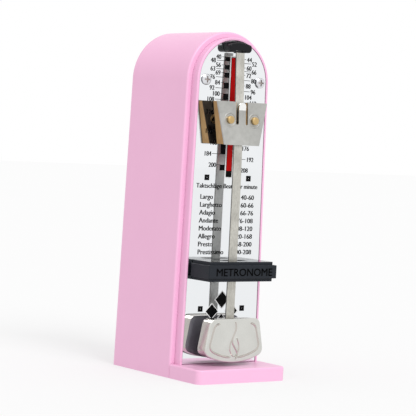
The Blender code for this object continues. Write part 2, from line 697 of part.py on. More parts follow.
def slider():
    """A sheet with a spring tongue, riveted to a brass weight that straddles the rod."""
    low, high = SLIDER_BOTTOM, SLIDER_TOP
    rivets = [(side * SLIDER_RIVET[0], SLIDER_RIVET[1]) for side in (-1, 1)]
    holes = [circle(1.2, place, 12) for place in rivets]
    sheet = prism([sheet_outline()] + holes, SLIDER_FRONT, SLIDER_FRONT + SLIDER_SHEET)
    for vertex in sheet.vertices:
        vertex.co.y -= slider_lean(vertex.co.z / MM) * MM
    part("slider_sheet", sheet, "nickel", "tempo_slider")
    front = SLIDER_FRONT + SLIDER_SHEET + 0.2
    side_view = [(front - slider_lean(low), low + 0.2), (front, high - 0.2)]
    side_view += [(SLIDER_BACK_HIGH, high - 0.2), (SLIDER_BACK_LOW, low + 0.2)]
    weight = prism([side_view], -SLIDER_TOP_HALF, SLIDER_TOP_HALF, "X")
    weight_part = part("slider_weight", weight, "brass", "tempo_slider")
    for side in (-1, 1):
        edge = [(side * (slider_half(low) - 0.3), low), (side * (slider_half(high) - 0.3), high)]
        wedge = edge + [(side * 20, high + 1), (side * 20, low - 1)]
        cut(weight_part, prism([wedge], -20, 0))
        pocket = [(side * 3.9, low + 1.6), (side * 8.4, low + 1.6), (side * 10.6, 116.6), (side * 3.9, 116.6)]
        cut(weight_part, prism([pocket], -9.8, 0))
        cut(weight_part, cylinder(1.1, -14, 0, (side * SLIDER_RIVET[0], SLIDER_RIVET[1]), "Y", 12))
    slot = ROD_HALF_WIDTH + GAP
    cut(weight_part, block((-slot, -14, low - 2), (slot, STRAP_FRONT, high + 2)))
    cut(weight_part, block((-slot, -14, STRAP_TOP), (slot, 0, high + 2)))
    for side, word in ((-1, "left"), (1, "right")):
        profile = ((0, 1.0), (1.3, 0.95), (1.75, 0.5), (1.8, 0), (0.8, 0), (0.8, -2.2), (0, -2.2))
        face = SLIDER_FRONT - slider_lean(SLIDER_RIVET[1])
        place = (side * SLIDER_RIVET[0], face - 0.2, SLIDER_RIVET[1])
        lean = atan2(SLIDER_LEAN, SLIDER_TOP - SLIDER_BOTTOM)
        placing = {"body": "tempo_slider", "location": place, "turn": (pi / 2 - lean, 0, 0)}
        turned_part(f"slider_rivet_{word}", profile, "brass", 18, **placing)


# --- Movement -----------------------------------------------------------------------------------------------


def movement_plates():
    outline = [(10.0, 6.5), (41.0, 6.5), (41.0, 40.0), (36.5, 52.0), (36.5, 63.0), (10.0, 63.0)]
    shared = [circle(1.3, place, 12) for place in PILLARS] + [circle(0.8, SECOND_AXIS, 12)]
    for side, word in ((-1, "left"), (1, "right")):
        holes = shared + [circle(WINDING_RADIUS + 0.2, BARREL_AXIS, 16)]
        if side > 0:
            holes += [circle(0.8, CROWN_AXIS, 12), circle(0.9, CLICK_AXIS, 12)]
        start = PLATE_X if side > 0 else -PLATE_X - PLATE_THICKNESS
        mesh = prism([outline] + holes, start, start + PLATE_THICKNESS, "X")
        part(f"movement_plate_{word}", mesh, "brass")


def pillars():
    pin, body, reach = 1.0, 1.5, PLATE_X + PLATE_THICKNESS + 0.3
    shoulder = PLATE_X - 0.25
    profile = ((0, reach), (pin, reach), (pin, shoulder), (body, shoulder), (body, -shoulder))
    profile += ((pin, -shoulder), (pin, -reach), (0, -reach))
    for number, (y, z) in enumerate(PILLARS, 1):
        turned_part(f"pillar_{number}", profile, "steel", 14, location=(0, y, z), turn=FACING_RIGHT)


def bridges():
    """Two strips behind the front frame that carry the plates, the rear bearing strip, and their screws."""
    reach = PLATE_X + PLATE_THICKNESS
    strips = (("upper", 45.0, 55.0, PIVOT_HEIGHT), ("lower", 7.5, 14.5, LOWER_BRIDGE_HEIGHT))
    for word, low, high, middle in strips:
        holes = [circle(1.1, (side * BRIDGE_SCREW_X, middle), 12) for side in (-1, 1)]
        if word == "upper":
            holes.append(circle(STAFF_RADIUS + 0.1, (0, PIVOT_HEIGHT), 20))
        mesh = prism([box_outline(-reach, low, reach, high)] + holes, BOSS_BACK + 0.5, BOSS_BACK + 1.7)
        part(f"{word}_bridge", mesh, "brass")
        for side, hand in ((-1, "left"), (1, "right")):
            place = (side * BRIDGE_SCREW_X, BOSS_BACK + 2.0, middle)
            pan_screw(f"{word}_bridge_screw_{hand}", 1.9, 1.0, 6.5, "steel", location=place, turn=FACING_BACK)
    hole = circle(0.7, (0, PIVOT_HEIGHT), 20)
    outline = box_outline(-PLATE_X + GAP, 46.6, PLATE_X - GAP, 53.4)
    part("rear_bridge", prism([outline, hole], 34.0, 35.2), "brass")
    bore = circle(STAFF_RADIUS + 0.1, (0, PIVOT_HEIGHT), 20)
    part("staff_bush", prism([circle(1.9, (0, PIVOT_HEIGHT), 20), bore], -3.0, -0.9), "brass")


def crown_bracket():
    """A bent strip that reaches in over the crown wheel's teeth and holds the inner end of its arbor."""
    y = CROWN_AXIS[0]
    outline = [(1.35, 48.2), (2.2, 48.2), (2.2, 58.9)]
    outline += [(PLATE_X - GAP, 58.9), (PLATE_X - GAP, 60.1), (1.35, 60.1)]
    strip = part("crown_bracket", prism([outline], y - 1.75, y + 1.75), "steel")
    cut(strip, cylinder(0.55, 0, 4, CROWN_AXIS, "X", 12))


def barrel():
    """A toothed drum with an open side for the mainspring, its lid, and the coiled spring inside."""
    bore = circle(WINDING_RADIUS + 0.2, BARREL_AXIS, 16)
    phase = line_angle(BARREL_AXIS, SECOND_AXIS)
    wheel = prism([gear_outline(BARREL_TEETH, BARREL_MODULE, BARREL_AXIS, phase), bore], -1.0, 0.5, "X")
    drum = part("barrel", wheel, "brass", "mainspring_barrel")
    wall = prism([circle(13.6, BARREL_AXIS, 28), circle(12.6, BARREL_AXIS, 28)], -11.5, -0.8, "X")
    join(drum, wall)
    lid = prism([circle(12.3, BARREL_AXIS, 28), bore], -11.4, -10.6, "X")
    part("barrel_lid", lid, "brass", "mainspring_barrel")
    part("mainspring", mainspring(), "spring_steel", "mainspring_barrel")


def mainspring():
    """A flat strip wound in a spiral that opens outwards, with its inner end close to the arbor."""
    turns, inner, outer, per_turn, thickness = 5, 2.6, 12.2, 14, 0.55
    count = turns * per_turn
    centre_line = []
    for i in range(count + 1):
        share = i / count
        centre_line.append((2 * pi * turns * share, inner + (outer - inner) * share))
    y, z = BARREL_AXIS
    near = [(y + r * cos(a), z + r * sin(a)) for a, r in centre_line]
    far = [(y + (r - thickness) * cos(a), z + (r - thickness) * sin(a)) for a, r in reversed(centre_line)]
    return prism([near + far], -10.2, -1.4, "X")


def winding():
    """The winding arbor with its ratchet wheel, click and key on the right-hand side."""
    y, z = BARREL_AXIS
    square, ends = 1.1, PLATE_X + PLATE_THICKNESS + 0.4
    profile = ((0, 31.0), (square, 31.0), (square, 24.0))
    profile += ((WINDING_RADIUS, 24.0), (WINDING_RADIUS, -ends), (0, -ends))
    placing = {"body": "winding_arbor", "location": (0, y, z), "turn": FACING_RIGHT}
    turned_part("winding_arbor", profile, "steel", **placing)
    bore = circle(WINDING_RADIUS + 0.2, BARREL_AXIS, 16)
    teeth = ratchet_outline(RATCHET_TEETH, RATCHET_TIP, RATCHET_TIP - 0.8, BARREL_AXIS)
    wheel = prism([teeth, bore], RATCHET_X, RATCHET_X + 1.2, "X")
    part("ratchet_wheel", wheel, "steel", "winding_arbor")
    hole = cylinder(square + 0.2, KEY_X - 1, 31.3, BARREL_AXIS, "X", 16)
    hub = cylinder(3.4, KEY_X, 33.0, BARREL_AXIS, "X", 24)
    key = part("winding_key", hub, "black_plastic", "winding_arbor")
    wing = box_outline(30.0, y - 9.5, 40.0, y + 9.5, (1.0, 4.0, 4.0, 1.0), 5)
    join(key, prism([wing], z - 1.4, z + 1.4, "Z"))
    cut(key, hole)


def click():
    """The pawl that drops behind the ratchet wheel's teeth, its screw and its leaf spring."""
    y, z = CLICK_AXIS
    towards = line_angle(CLICK_AXIS, BARREL_AXIS)
    length = (Vector(CLICK_AXIS) - Vector(BARREL_AXIS)).length - RATCHET_TIP - CLICK_GAP
    ahead = Vector((cos(towards), sin(towards)))
    aside = Vector((-ahead.y, ahead.x))
    tip = Vector(CLICK_AXIS) + ahead * length + aside * 0.6
    ring = circle(2.2, CLICK_AXIS, 14, towards + radians(35), towards - radians(35) + 2 * pi)
    outline = ring + [tuple(tip - aside * 0.9), tuple(tip)]
    mesh = prism([outline, circle(1.0, CLICK_AXIS, 12)], RATCHET_X, RATCHET_X + 1.2, "X")
    part("click", mesh, "steel", "click")
    place = (RATCHET_X + 1.5, y, z)
    pan_screw("click_screw", 1.9, 0.9, 2.6, "steel", shank=0.7, location=place, turn=FACING_RIGHT)
    start = Vector((y + 2.0, z + 9.0))
    end = Vector(CLICK_AXIS) - ahead * 0.4 + aside * -2.75
    leaf = [tuple(start), tuple(end)]
    normal = Vector((-(end - start).y, (end - start).x)).normalized() * 0.3
    leaf += [tuple(end + normal), tuple(start + normal)]
    part("click_spring", prism([leaf], RATCHET_X, RATCHET_X + 1.2, "X"), "spring_steel")


def second_wheel():
    """The middle arbor: a pinion driven by the barrel, and a wheel that drives the crown wheel."""
    back = line_angle(SECOND_AXIS, BARREL_AXIS)
    pinion = gear_outline(SECOND_PINION_TEETH, BARREL_MODULE, SECOND_AXIS, back + pi / SECOND_PINION_TEETH)
    arbor = part("second_arbor", prism([pinion], -2.5, 2.0, "X"), "steel", "second_wheel")
    join(arbor, cylinder(ARBOR_RADIUS, -PLATE_X + 0.3, PLATE_X - 0.3, SECOND_AXIS, "X", 12))
    join(arbor, cylinder(0.6, -PLATE_X - 1.4, PLATE_X + 1.4, SECOND_AXIS, "X", 12))
    phase = line_angle(SECOND_AXIS, CROWN_AXIS)
    hub = circle(ARBOR_RADIUS + 0.2, SECOND_AXIS, 16)
    windows = [arc_window(SECOND_AXIS, 3.0, 8.6, i * pi / 2 + 0.2, (i + 1) * pi / 2 - 0.2) for i in range(4)]
    outline = gear_outline(SECOND_TEETH, SECOND_MODULE, SECOND_AXIS, phase)
    part("second_wheel", prism([outline, hub] + windows, 8.2, 9.2, "X"), "brass", "second_wheel")


def arc_window(centre, inner, outer, start, end):
    """The opening between two spokes of a wheel."""
    return circle(outer, centre, 6, start, end) + list(reversed(circle(inner, centre, 4, start, end)))


def crown_wheel():
    """The cup-shaped escape wheel, whose saw teeth point along its arbor towards the pendulum staff."""
    y, z = CROWN_AXIS
    tip, base, inner = CROWN_TIP_X, CROWN_TIP_X + 3.2, CROWN_RADIUS - 0.9
    ring = prism([circle(CROWN_RADIUS, CROWN_AXIS, 45), circle(inner, CROWN_AXIS, 45)], tip, base, "X")
    wheel = part("crown_wheel", ring, "brass", "crown_wheel")
    hub = circle(ARBOR_RADIUS + 0.2, CROWN_AXIS, 16)
    join(wheel, prism([circle(CROWN_RADIUS - 0.3, CROWN_AXIS, 30), hub], base - 0.9, base - 0.1, "X"))
    pitch = 2 * pi * CROWN_RADIUS / CROWN_TEETH
    notches = []
    for tooth in range(CROWN_TEETH):
        notch = [(tip - 1, 0), (tip - 1, pitch - 0.5), (tip, pitch - 0.5), (tip + 1.7, 0)]
        mesh = prism([notch], inner - 0.6, CROWN_RADIUS + 0.6, "Z")
        turn = Matrix.Rotation((tooth + 0.1) * 2 * pi / CROWN_TEETH, 4, "X")
        mesh.transform(Matrix.Translation((0, y * MM, z * MM)) @ turn)
        notches.append(mesh)
    cut(wheel, *notches)
    back = line_angle(CROWN_AXIS, SECOND_AXIS)
    pinion = gear_outline(CROWN_PINION_TEETH, SECOND_MODULE, CROWN_AXIS, back + pi / CROWN_PINION_TEETH)
    arbor = part("crown_arbor", prism([pinion], 7.0, 10.5, "X"), "steel", "crown_wheel")
    join(arbor, cylinder(ARBOR_RADIUS, 2.9, PLATE_X - 0.3, CROWN_AXIS, "X", 12))
    join(arbor, cylinder(0.45, 1.45, PLATE_X - 1.0, CROWN_AXIS, "X", 12))
    join(arbor, cylinder(0.6, PLATE_X - 1.0, PLATE_X + 1.4, CROWN_AXIS, "X", 12))


def main():
    pivot("pendulum", 0, 0, PIVOT_HEIGHT)
    pivot("tempo_slider", 0, SLIDER_FRONT, SLIDER_TOP)
    pivot("mainspring_barrel", 0, *BARREL_AXIS)
    pivot("winding_arbor", 0, *BARREL_AXIS)
    pivot("second_wheel", 0, *SECOND_AXIS)
    pivot("crown_wheel", 0, *CROWN_AXIS)
    pivot("click", RATCHET_X, *CLICK_AXIS)
    rear_casing()
    front_frame()
    bottom_cover()
    case_screws()
    rubber_feet()
    scale_plate()
    pendulum_clip()
    guard_bar()
    pendulum_rod()
    bob()
    staff()
    slider()
    movement_plates()
    pillars()
    bridges()
    crown_bracket()
    barrel()
    winding()
    click()
    second_wheel()
    crown_wheel()


main()
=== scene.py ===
"""The looks of a wind-up pendulum metronome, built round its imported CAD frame.

Sizes are in millimetres and become metres in the helpers. X is right, Y goes from front to back, Z is up.
"""

import json
from math import asin, atan2, cos, pi, radians, sin, sqrt, tan

import bmesh
import bpy
from mathutils import Matrix, Vector


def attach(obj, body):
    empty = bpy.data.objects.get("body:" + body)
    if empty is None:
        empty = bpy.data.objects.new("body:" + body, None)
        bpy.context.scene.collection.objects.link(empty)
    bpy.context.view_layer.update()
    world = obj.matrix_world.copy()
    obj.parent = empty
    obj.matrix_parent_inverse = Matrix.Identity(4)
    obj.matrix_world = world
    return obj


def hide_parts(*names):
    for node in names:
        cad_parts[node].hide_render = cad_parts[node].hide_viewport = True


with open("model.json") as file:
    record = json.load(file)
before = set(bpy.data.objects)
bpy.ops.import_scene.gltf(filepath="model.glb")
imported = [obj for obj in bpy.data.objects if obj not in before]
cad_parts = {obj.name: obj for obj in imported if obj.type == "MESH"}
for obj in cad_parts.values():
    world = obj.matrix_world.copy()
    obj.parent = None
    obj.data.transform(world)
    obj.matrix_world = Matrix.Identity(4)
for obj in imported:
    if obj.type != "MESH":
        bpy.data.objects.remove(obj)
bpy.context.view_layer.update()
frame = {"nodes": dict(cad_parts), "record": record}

MM = 0.001

# The case and its front, as in the CAD
CASE_HEIGHT = 160.0
BASE_HALF_WIDTH = 25.15
ARCH_RADIUS = 23.1
ARCH_CENTRE = CASE_HEIGHT - ARCH_RADIUS
SIDE_LEAN = atan2(BASE_HALF_WIDTH - ARCH_RADIUS, ARCH_CENTRE)
CASE_DEPTH = 47.7
TOP_DEPTH = 46.0
BACK_LEAN = (CASE_DEPTH - TOP_DEPTH) / CASE_HEIGHT
CASE_WALL = 2.6
BACK_WALL = 2.2
GAP = 0.3
FACE_FRONT = -4.3
FACE_BACK = 2.0
FACE_INSET = CASE_WALL + GAP
FACE_FILL = GAP - 0.06
FOOT_FRONT = -22.8
FOOT_HEIGHT = 6.5
PLATE_FRONT = -4.0
PLATE_BACK = -3.4
PLATE_INSET = 4.1
PLATE_BOTTOM = 6.8
PLATE_SCREW = (15.5, 137.3)
BACK_SCREW = (15.0, 112.0)
BOSS_BACK = 8.0
PIVOT_HEIGHT = 50.0
BRIDGE_SCREW_X = 10.5
BRIDGE_SCREW_HEIGHTS = (11.0, PIVOT_HEIGHT)
BASE_SCREW_X = 20.3
BASE_SCREW_DEPTHS = (12.5, 41.0)
BASE_BOSS_TOP = 11.0
PAD_RADIUS = 4.0
FRONT_PAD = (18.0, -14.0)
BACK_PAD = (11.5, 38.0)

# Guard bar and clip
BAR_FRONT = -19.3
BAR_HALF_WIDTH = 19.4
BAR_LOW = 47.3
BAR_HIGH = 53.4
BAR_BELT = 1.4
BAR_EDGE = 1.5
BAR_WALL = 1.2
BAR_ROOF = 1.2
ROD_SLOT_HALF = 7.2
ROD_SLOT_FRONT = -13.3
ROD_SLOT_BACK = -8.4
CLIP_FRONT = -9.0
CLIP_HALF_WIDTH = 6.4
CLIP_BOTTOM = 150.5
CLIP_SHEET_FRONT = -5.9
CLIP_BLOCK_BACK = -5.4
CLIP_CROWN = 155.0
CLIP_SAG = 0.8
CLIP_LOBE = (152.6, 154.0)

# Pendulum and slider
ROD_HALF_WIDTH = 2.35
ROD_FRONT = -10.9
ROD_THICKNESS = 0.8
ROD_TOP = 150.35
ROD_BOTTOM = 14.0
ROD_BEND_START = 78.0
ROD_BEND = 2.2
BOB_FRONT = -15.3
BOB_BACK = -7.7
BOB_COVER = 0.6
BOB_TOP = 28.6
BOB_HALF_TOP = 13.9
BOB_CORNER = 12.4
BOB_HALF_LOW = 16.9
BOB_SAG = 4.1
SLIDER_TOP = 127.8
SLIDER_BOTTOM = 108.0
SLIDER_TOP_HALF = 14.3
SLIDER_BOTTOM_HALF = 9.9
SLIDER_FRONT = -12.0
SLIDER_SHEET = 0.8
SLIDER_LEAN = 1.3
SLIDER_RIVET = (7.0, 119.4)
SLIDER_SLOT_LOW = 117.3
SLIDER_TONGUE_HALF = 2.0
SLIDER_SLOT_RIGHT = 3.2
SLIDER_SLOT_LEFT = 3.6
# How far down from the slider's top the tongue's painted highlight reaches
TIP_HIGHLIGHT_REACH = 3.4
DIMPLE_RADIUS = 3.1
STRAP_TOP = 113.0
STRAP_FRONT = -8.2
SLIDER_BACK_LOW = -6.8
SLIDER_BACK_HIGH = -8.3
POCKET_X = (3.9, 8.4, 10.6)
POCKET_TOP = 116.6
POCKET_FRONT = -9.8
RIVET_TAIL_BACK = -7.55

# Winding key
BARREL_AXIS = (25.0, 21.0)
KEY_X = 25.8
KEY_HOLE = 4.2
KEY_HUB_END = 33.0
KEY_WING = (30.0, 40.0)

# Holes for screws and rivets, and the reach of a cutter that has to pass the whole part
SCREW_HOLE = 1.1
SCREW_HOLE_SIDES = 20
FAR = 20

# The part of a noise's range that is spread from one value to the other
NOISE_SPAN = (0.3, 0.7)

# Angles in degrees above which an edge is shaded sharp or gets rounded, and below which two faces are one
SHARP_ANGLE = 32
ROUNDED_ANGLE = 40
FLAT_ANGLE = 0.1

# Distances that count as none: between points in metres, and from a plane in millimetres
WELD = 1e-6
NEAR = 0.01

# Height of a capital letter as a share of the font size
CAP_SHARE = 0.729


# --- Materials ----------------------------------------------------------------------------------------------


def linear(red, green, blue):
    """A display colour, 0 to 255, as the linear colour that shaders take."""
    return tuple(
        (c / 255 / 12.92) if c <= 10 else ((c / 255 + 0.055) / 1.055) ** 2.4 for c in (red, green, blue)
    ) + (1.0,)


class Surface:
    """A Principled material whose colour, roughness and bump come from procedural nodes in object space."""

    def __init__(self, name, **constants):
        self.material = bpy.data.materials.new(name)
        self.material.use_nodes = True
        self.tree = self.material.node_tree
        self.shader = self.tree.nodes["Principled BSDF"]
        self.place = self.node("ShaderNodeTexCoord").outputs["Object"]
        for key, value in constants.items():
            self.shader.inputs[key.replace("_", " ")].default_value = value

    def node(self, kind, **settings):
        made = self.tree.nodes.new(kind)
        for key, value in settings.items():
            setattr(made, key, value)
        return made

    def link(self, source, target):
        self.tree.links.new(source, target)

    def stretched(self, stretch):
        mapping = self.node("ShaderNodeMapping")
        mapping.inputs["Scale"].default_value = stretch
        self.link(self.place, mapping.inputs["Vector"])
        return mapping.outputs["Vector"]

    def noise(self, scale, detail=3.0, rough=0.55, stretch=(1, 1, 1)):
        made = self.node("ShaderNodeTexNoise")
        made.inputs["Scale"].default_value = scale
        made.inputs["Detail"].default_value = detail
        made.inputs["Roughness"].default_value = rough
        self.link(self.stretched(stretch), made.inputs["Vector"])
        return made.outputs["Fac"]

    def ranged(self, source, low, high):
        made = self.node("ShaderNodeMapRange")
        for key, value in zip(("From Min", "From Max", "To Min", "To Max"), (*NOISE_SPAN, low, high)):
            made.inputs[key].default_value = value
        self.link(source, made.inputs["Value"])
        return made.outputs["Result"]

    def mixed(self, share, first, second):
        made = self.node("ShaderNodeMix", data_type="RGBA")
        self.link(share, made.inputs["Factor"])
        for socket, value in ((made.inputs["A"], first), (made.inputs["B"], second)):
            if isinstance(value, tuple):
                socket.default_value = value
            else:
                self.link(value, socket)
        return made.outputs["Result"]

    def colour(self, source):
        self.link(source, self.shader.inputs["Base Color"])

    def roughness(self, source, low, high):
        self.link(self.ranged(source, low, high), self.shader.inputs["Roughness"])

    def bump(self, source, strength, depth):
        made = self.node("ShaderNodeBump")
        made.inputs["Strength"].default_value = strength
        made.inputs["Distance"].default_value = depth * MM
        self.link(source, made.inputs["Height"])
        self.link(made.outputs["Normal"], self.shader.inputs["Normal"])


def plain_surface(
    name, light, dark, rough, grain, depth, metallic=0.0, stretch=(1, 1, 1), strength=0.3, **extra
):
    """A light display colour that turns to a dark one in soft patches and in a fine grain of the given depth,
    which also varies the roughness."""
    patch_scale, patch_share, grain_share = 0.08, 0.45, 0.35
    light, dark = linear(*light), linear(*dark)
    made = Surface(name, Metallic=metallic, **extra)
    patches = made.noise(grain * patch_scale, 2.0)
    fine = made.noise(grain, 4.0, 0.6, stretch)
    tone = made.mixed(made.ranged(patches, 0.0, patch_share), light, dark)
    made.colour(made.mixed(made.ranged(fine, 0.0, grain_share), tone, dark))
    made.roughness(fine, *rough)
    made.bump(fine, strength, depth)
    return made.material


def print_surface(name, colour, thin):
    """Screen-printed ink that is a little uneven in cover, in two display colours."""
    made = Surface(name, Specular_IOR_Level=0.05)
    cover = made.noise(2600.0, 2.0)
    made.colour(made.mixed(made.ranged(cover, 0.0, 0.5), linear(*colour), linear(*thin)))
    made.roughness(cover, 0.32, 0.5)
    return made.material


# Name, light and dark colour, range of roughness, grain and its depth; then the metallic share, the grain's
# stretch and the strength of the bump
MATERIALS = {
    "pink": plain_surface(
        "pink_plastic", (227, 173, 204), (224, 169, 201), (0.34, 0.42), 900.0, 0.012,
        Coat_Weight=0.1, Coat_Roughness=0.3,
    ),
    "black": plain_surface(
        "black_plastic", (27, 32, 39), (19, 22, 28), (0.45, 0.62), 1600.0, 0.03, Specular_IOR_Level=0.22
    ),
    "clip": plain_surface(
        "black_clip", (13, 14, 18), (8, 9, 12), (0.16, 0.24), 500.0, 0.002, Specular_IOR_Level=0.22
    ),
    "gloss": plain_surface("black_gloss", (12, 13, 16), (8, 9, 11), (0.12, 0.18), 900.0, 0.004),
    "letters": plain_surface(
        "black_letters", (9, 9, 11), (5, 5, 6), (0.5, 0.6), 1600.0, 0.02, Specular_IOR_Level=0.15
    ),
    "mirror": plain_surface(
        "mirror_plate", (240, 242, 244), (236, 239, 241), (0.02, 0.04), 1200.0, 0.0005, 1.0
    ),
    "chrome": plain_surface("chrome", (226, 227, 230), (206, 207, 211), (0.1, 0.2), 1500.0, 0.004, 1.0),
    "rod": plain_surface(
        "rod_nickel", (220, 218, 210), (118, 116, 108), (0.34, 0.5), 1300.0, 0.05, 1.0, (1, 1, 0.5), 0.5
    ),
    "rod_back": plain_surface(
        "rod_back", (206, 204, 200), (172, 170, 166), (0.4, 0.55), 1500.0, 0.02, 1.0, (1, 1, 0.6), 0.4
    ),
    "rod_edge": plain_surface("rod_edge", (118, 116, 114), (84, 82, 80), (0.4, 0.55), 900.0, 0.01, 0.7),
    "bob": plain_surface("bob_nickel", (216, 216, 211), (199, 199, 194), (0.3, 0.42), 1500.0, 0.008, 1.0),
    # The casting's edge nickel; on the ornament its darker tone is painted shade along the raised lines
    "bob_edge": plain_surface(
        "bob_edge_nickel", (206, 200, 194), (176, 169, 162), (0.16, 0.28), 700.0, 0.006, 1.0, (1, 1, 0.2)
    ),
    "bob_back": plain_surface("bob_back", (120, 116, 122), (96, 93, 97), (0.4, 0.55), 900.0, 0.02),
    "sheet": plain_surface(
        "slider_nickel", (200, 200, 196), (134, 134, 130), (0.34, 0.5), 330.0, 0.04, 1.0, strength=0.4
    ),
    # A brighter nickel for the tongue's bent tip: a painted highlight
    "tip": plain_surface("tongue_tip_painted_highlight", (250, 250, 248), (236, 236, 232), (0.2, 0.3), 600.0, 0.004, 1.0),
    "brass": plain_surface("brass", (206, 178, 128), (172, 142, 92), (0.26, 0.42), 900.0, 0.01, 1.0),
    "brass_raw": plain_surface(
        "brass_raw", (196, 158, 106), (136, 104, 66), (0.45, 0.65), 800.0, 0.05, 0.6, (1, 1, 0.35), 0.6
    ),
    # A dark brass for the weight's back and the faces inside its slot and pockets: painted shade
    "brass_painted_shade": plain_surface(
        "brass_painted_shade", (86, 71, 57), (38, 32, 28), (0.5, 0.75), 500.0, 0.05, 0.2, strength=0.6
    ),
    "steel": plain_surface("steel", (200, 200, 202), (170, 170, 173), (0.25, 0.4), 800.0, 0.006, 1.0),
    "spring": plain_surface("spring_steel", (112, 118, 134), (84, 90, 110), (0.2, 0.34), 500.0, 0.004, 1.0),
    "rubber": plain_surface("rubber", (40, 40, 41), (28, 28, 29), (0.75, 0.9), 1100.0, 0.03),
    # A darker metal for the screws' cross recesses and for the bob's seam: painted shade
    "recess": plain_surface("recess_painted_shade", (184, 176, 172), (142, 132, 128), (0.4, 0.5), 900.0, 0.01, 0.8),
    "ink": print_surface("black_ink", (8, 8, 9), (20, 20, 22)),
    "red": print_surface("red_ink", (212, 16, 18), (196, 12, 14)),
    "white": print_surface("white_ink", (250, 250, 250), (240, 241, 242)),
}


# --- Mesh helpers -------------------------------------------------------------------------------------------


def piece(name, mesh, finish, body="case", stands_for=(), turn=None, move=None):
    """A finished piece on its body, in place of the CAD nodes it stands for; turn and move place its mesh."""
    obj = bpy.data.objects.new(name, mesh)
    bpy.context.scene.collection.objects.link(obj)
    if turn or move:
        spin = Matrix.Rotation(turn[0], 4, turn[1]) if turn else Matrix.Identity(4)
        mesh.transform(Matrix.Translation(Vector(move or (0, 0, 0)) * MM) @ spin)
    finishes = [finish] if isinstance(finish, str) else finish
    for one in finishes:
        mesh.materials.append(MATERIALS[one])
    mesh.shade_smooth()
    mesh.set_sharp_from_angle(angle=radians(SHARP_ANGLE))
    even = obj.modifiers.new("even_shading", "WEIGHTED_NORMAL")
    even.keep_sharp = True
    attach(obj, body)
    if stands_for:
        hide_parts(*stands_for)
    return obj


def standing(u, v, w, axis):
    """A point of a flat shape (u, v), at w along the axis that the shape is extruded on."""
    return {"X": (w, u, v), "Y": (u, w, v), "Z": (u, v, w)}[axis]


def prism(outlines, start, end, axis="Y"):
    """A flat outline, with holes where the later outlines lie inside it, extruded from start to end."""
    curve = bpy.data.curves.new("outline", "CURVE")
    curve.dimensions = "2D"
    curve.fill_mode = "BOTH"
    curve.extrude = (end - start) / 2 * MM
    for outline in outlines:
        spline = curve.splines.new("POLY")
        spline.points.add(len(outline) - 1)
        spline.use_cyclic_u = True
        for point, (u, v) in zip(spline.points, outline):
            point.co = (u * MM, v * MM, 0, 1)
    mesh = baked(bpy.data.objects.new("outline", curve))
    middle = (start + end) / 2 * MM
    for vertex in mesh.vertices:
        u, v, w = vertex.co
        vertex.co = standing(u, v, w + middle, axis)
    return cleaned(mesh)


def baked(guide):
    """The mesh of an object as its modifiers or curve settings leave it; the object goes away."""
    bpy.context.scene.collection.objects.link(guide)
    graph = bpy.context.evaluated_depsgraph_get()
    mesh = bpy.data.meshes.new_from_object(guide.evaluated_get(graph))
    bpy.data.objects.remove(guide)
    return mesh


def cleaned(mesh):
    """The mesh welded, with flat areas in one face and its faces pointing out."""
    shape = bmesh.new()
    shape.from_mesh(mesh)
    bmesh.ops.remove_doubles(shape, verts=shape.verts, dist=WELD)
    bmesh.ops.dissolve_limit(shape, angle_limit=radians(FLAT_ANGLE), verts=shape.verts, edges=shape.edges)
    bmesh.ops.recalc_face_normals(shape, faces=shape.faces)
    shape.to_mesh(mesh)
    shape.free()
    return mesh


def rounded(mesh, width, segments, chosen):
    """The mesh with the chosen edges rounded; chosen gets an edge's two ends in millimetres."""
    shape = bmesh.new()
    shape.from_mesh(mesh)
    edges = [edge for edge in shape.edges if chosen(*[vertex.co / MM for vertex in edge.verts])]
    size = {"offset": width * MM, "segments": segments, "profile": 0.5}
    bmesh.ops.bevel(shape, geom=edges, affect="EDGES", clamp_overlap=True, **size)
    shape.to_mesh(mesh)
    shape.free()
    return mesh


def sharp_edges(mesh, width, segments):
    """The mesh with every sharp edge rounded."""
    guide = bpy.data.objects.new("guide", mesh)
    modifier = guide.modifiers.new("round", "BEVEL")
    modifier.width = width * MM
    modifier.segments = segments
    modifier.limit_method = "ANGLE"
    modifier.angle_limit = radians(ROUNDED_ANGLE)
    return baked(guide)


def in_plane(axis, value):
    """A test for rounded that takes the edges whose two ends have this value on the axis."""
    index = "XYZ".index(axis)
    return lambda a, b: max(abs(a[index] - value), abs(b[index] - value)) < NEAR


def together(meshes):
    """Several meshes as one."""
    shape = bmesh.new()
    for mesh in meshes:
        shape.from_mesh(mesh)
    joined = bpy.data.meshes.new("group")
    shape.to_mesh(joined)
    shape.free()
    return joined


def boolean(mesh, others, operation="DIFFERENCE"):
    """The mesh with the others cut out of it or joined to it; the others lie apart from each other."""
    guide = bpy.data.objects.new("guide", mesh)
    tool = bpy.data.objects.new("tool", together(others))
    bpy.context.scene.collection.objects.link(tool)
    modifier = guide.modifiers.new("boolean", "BOOLEAN")
    modifier.operation = operation
    modifier.solver = "EXACT"
    modifier.object = tool
    made = baked(guide)
    bpy.data.objects.remove(tool)
    return made


def cylinder(radius, start, end, centre, axis="Y", sides=32):
    return prism([circle(radius, centre, sides)], start, end, axis)


def circle(radius, centre, sides, start=0.0, end=2 * pi):
    """Points round a circle, or along an arc when start and end aren't a full turn apart."""
    full = abs(end - start - 2 * pi) < 1e-6
    step = (end - start) / sides
    angles = [start + i * step for i in range(sides if full else sides + 1)]
    return [(centre[0] + radius * cos(angle), centre[1] + radius * sin(angle)) for angle in angles]


def mirrored(points):
    """The points on the other side of the middle plane."""
    return [(-u, v) for u, v in points]


def box_outline(left, low, right, high, corners=(0, 0, 0, 0), steps=8):
    """A rectangle with round corners, given as radii from the lower left one anticlockwise."""
    places = ((left, low, 1, 1), (right, low, -1, 1), (right, high, -1, -1), (left, high, 1, -1))
    points = []
    for i, ((u, v, inward_u, inward_v), radius) in enumerate(zip(places, corners)):
        if radius == 0:
            points.append((u, v))
            continue
        begin = pi + i * pi / 2
        points += circle(radius, (u + inward_u * radius, v + inward_v * radius), steps, begin, begin + pi / 2)
    return points


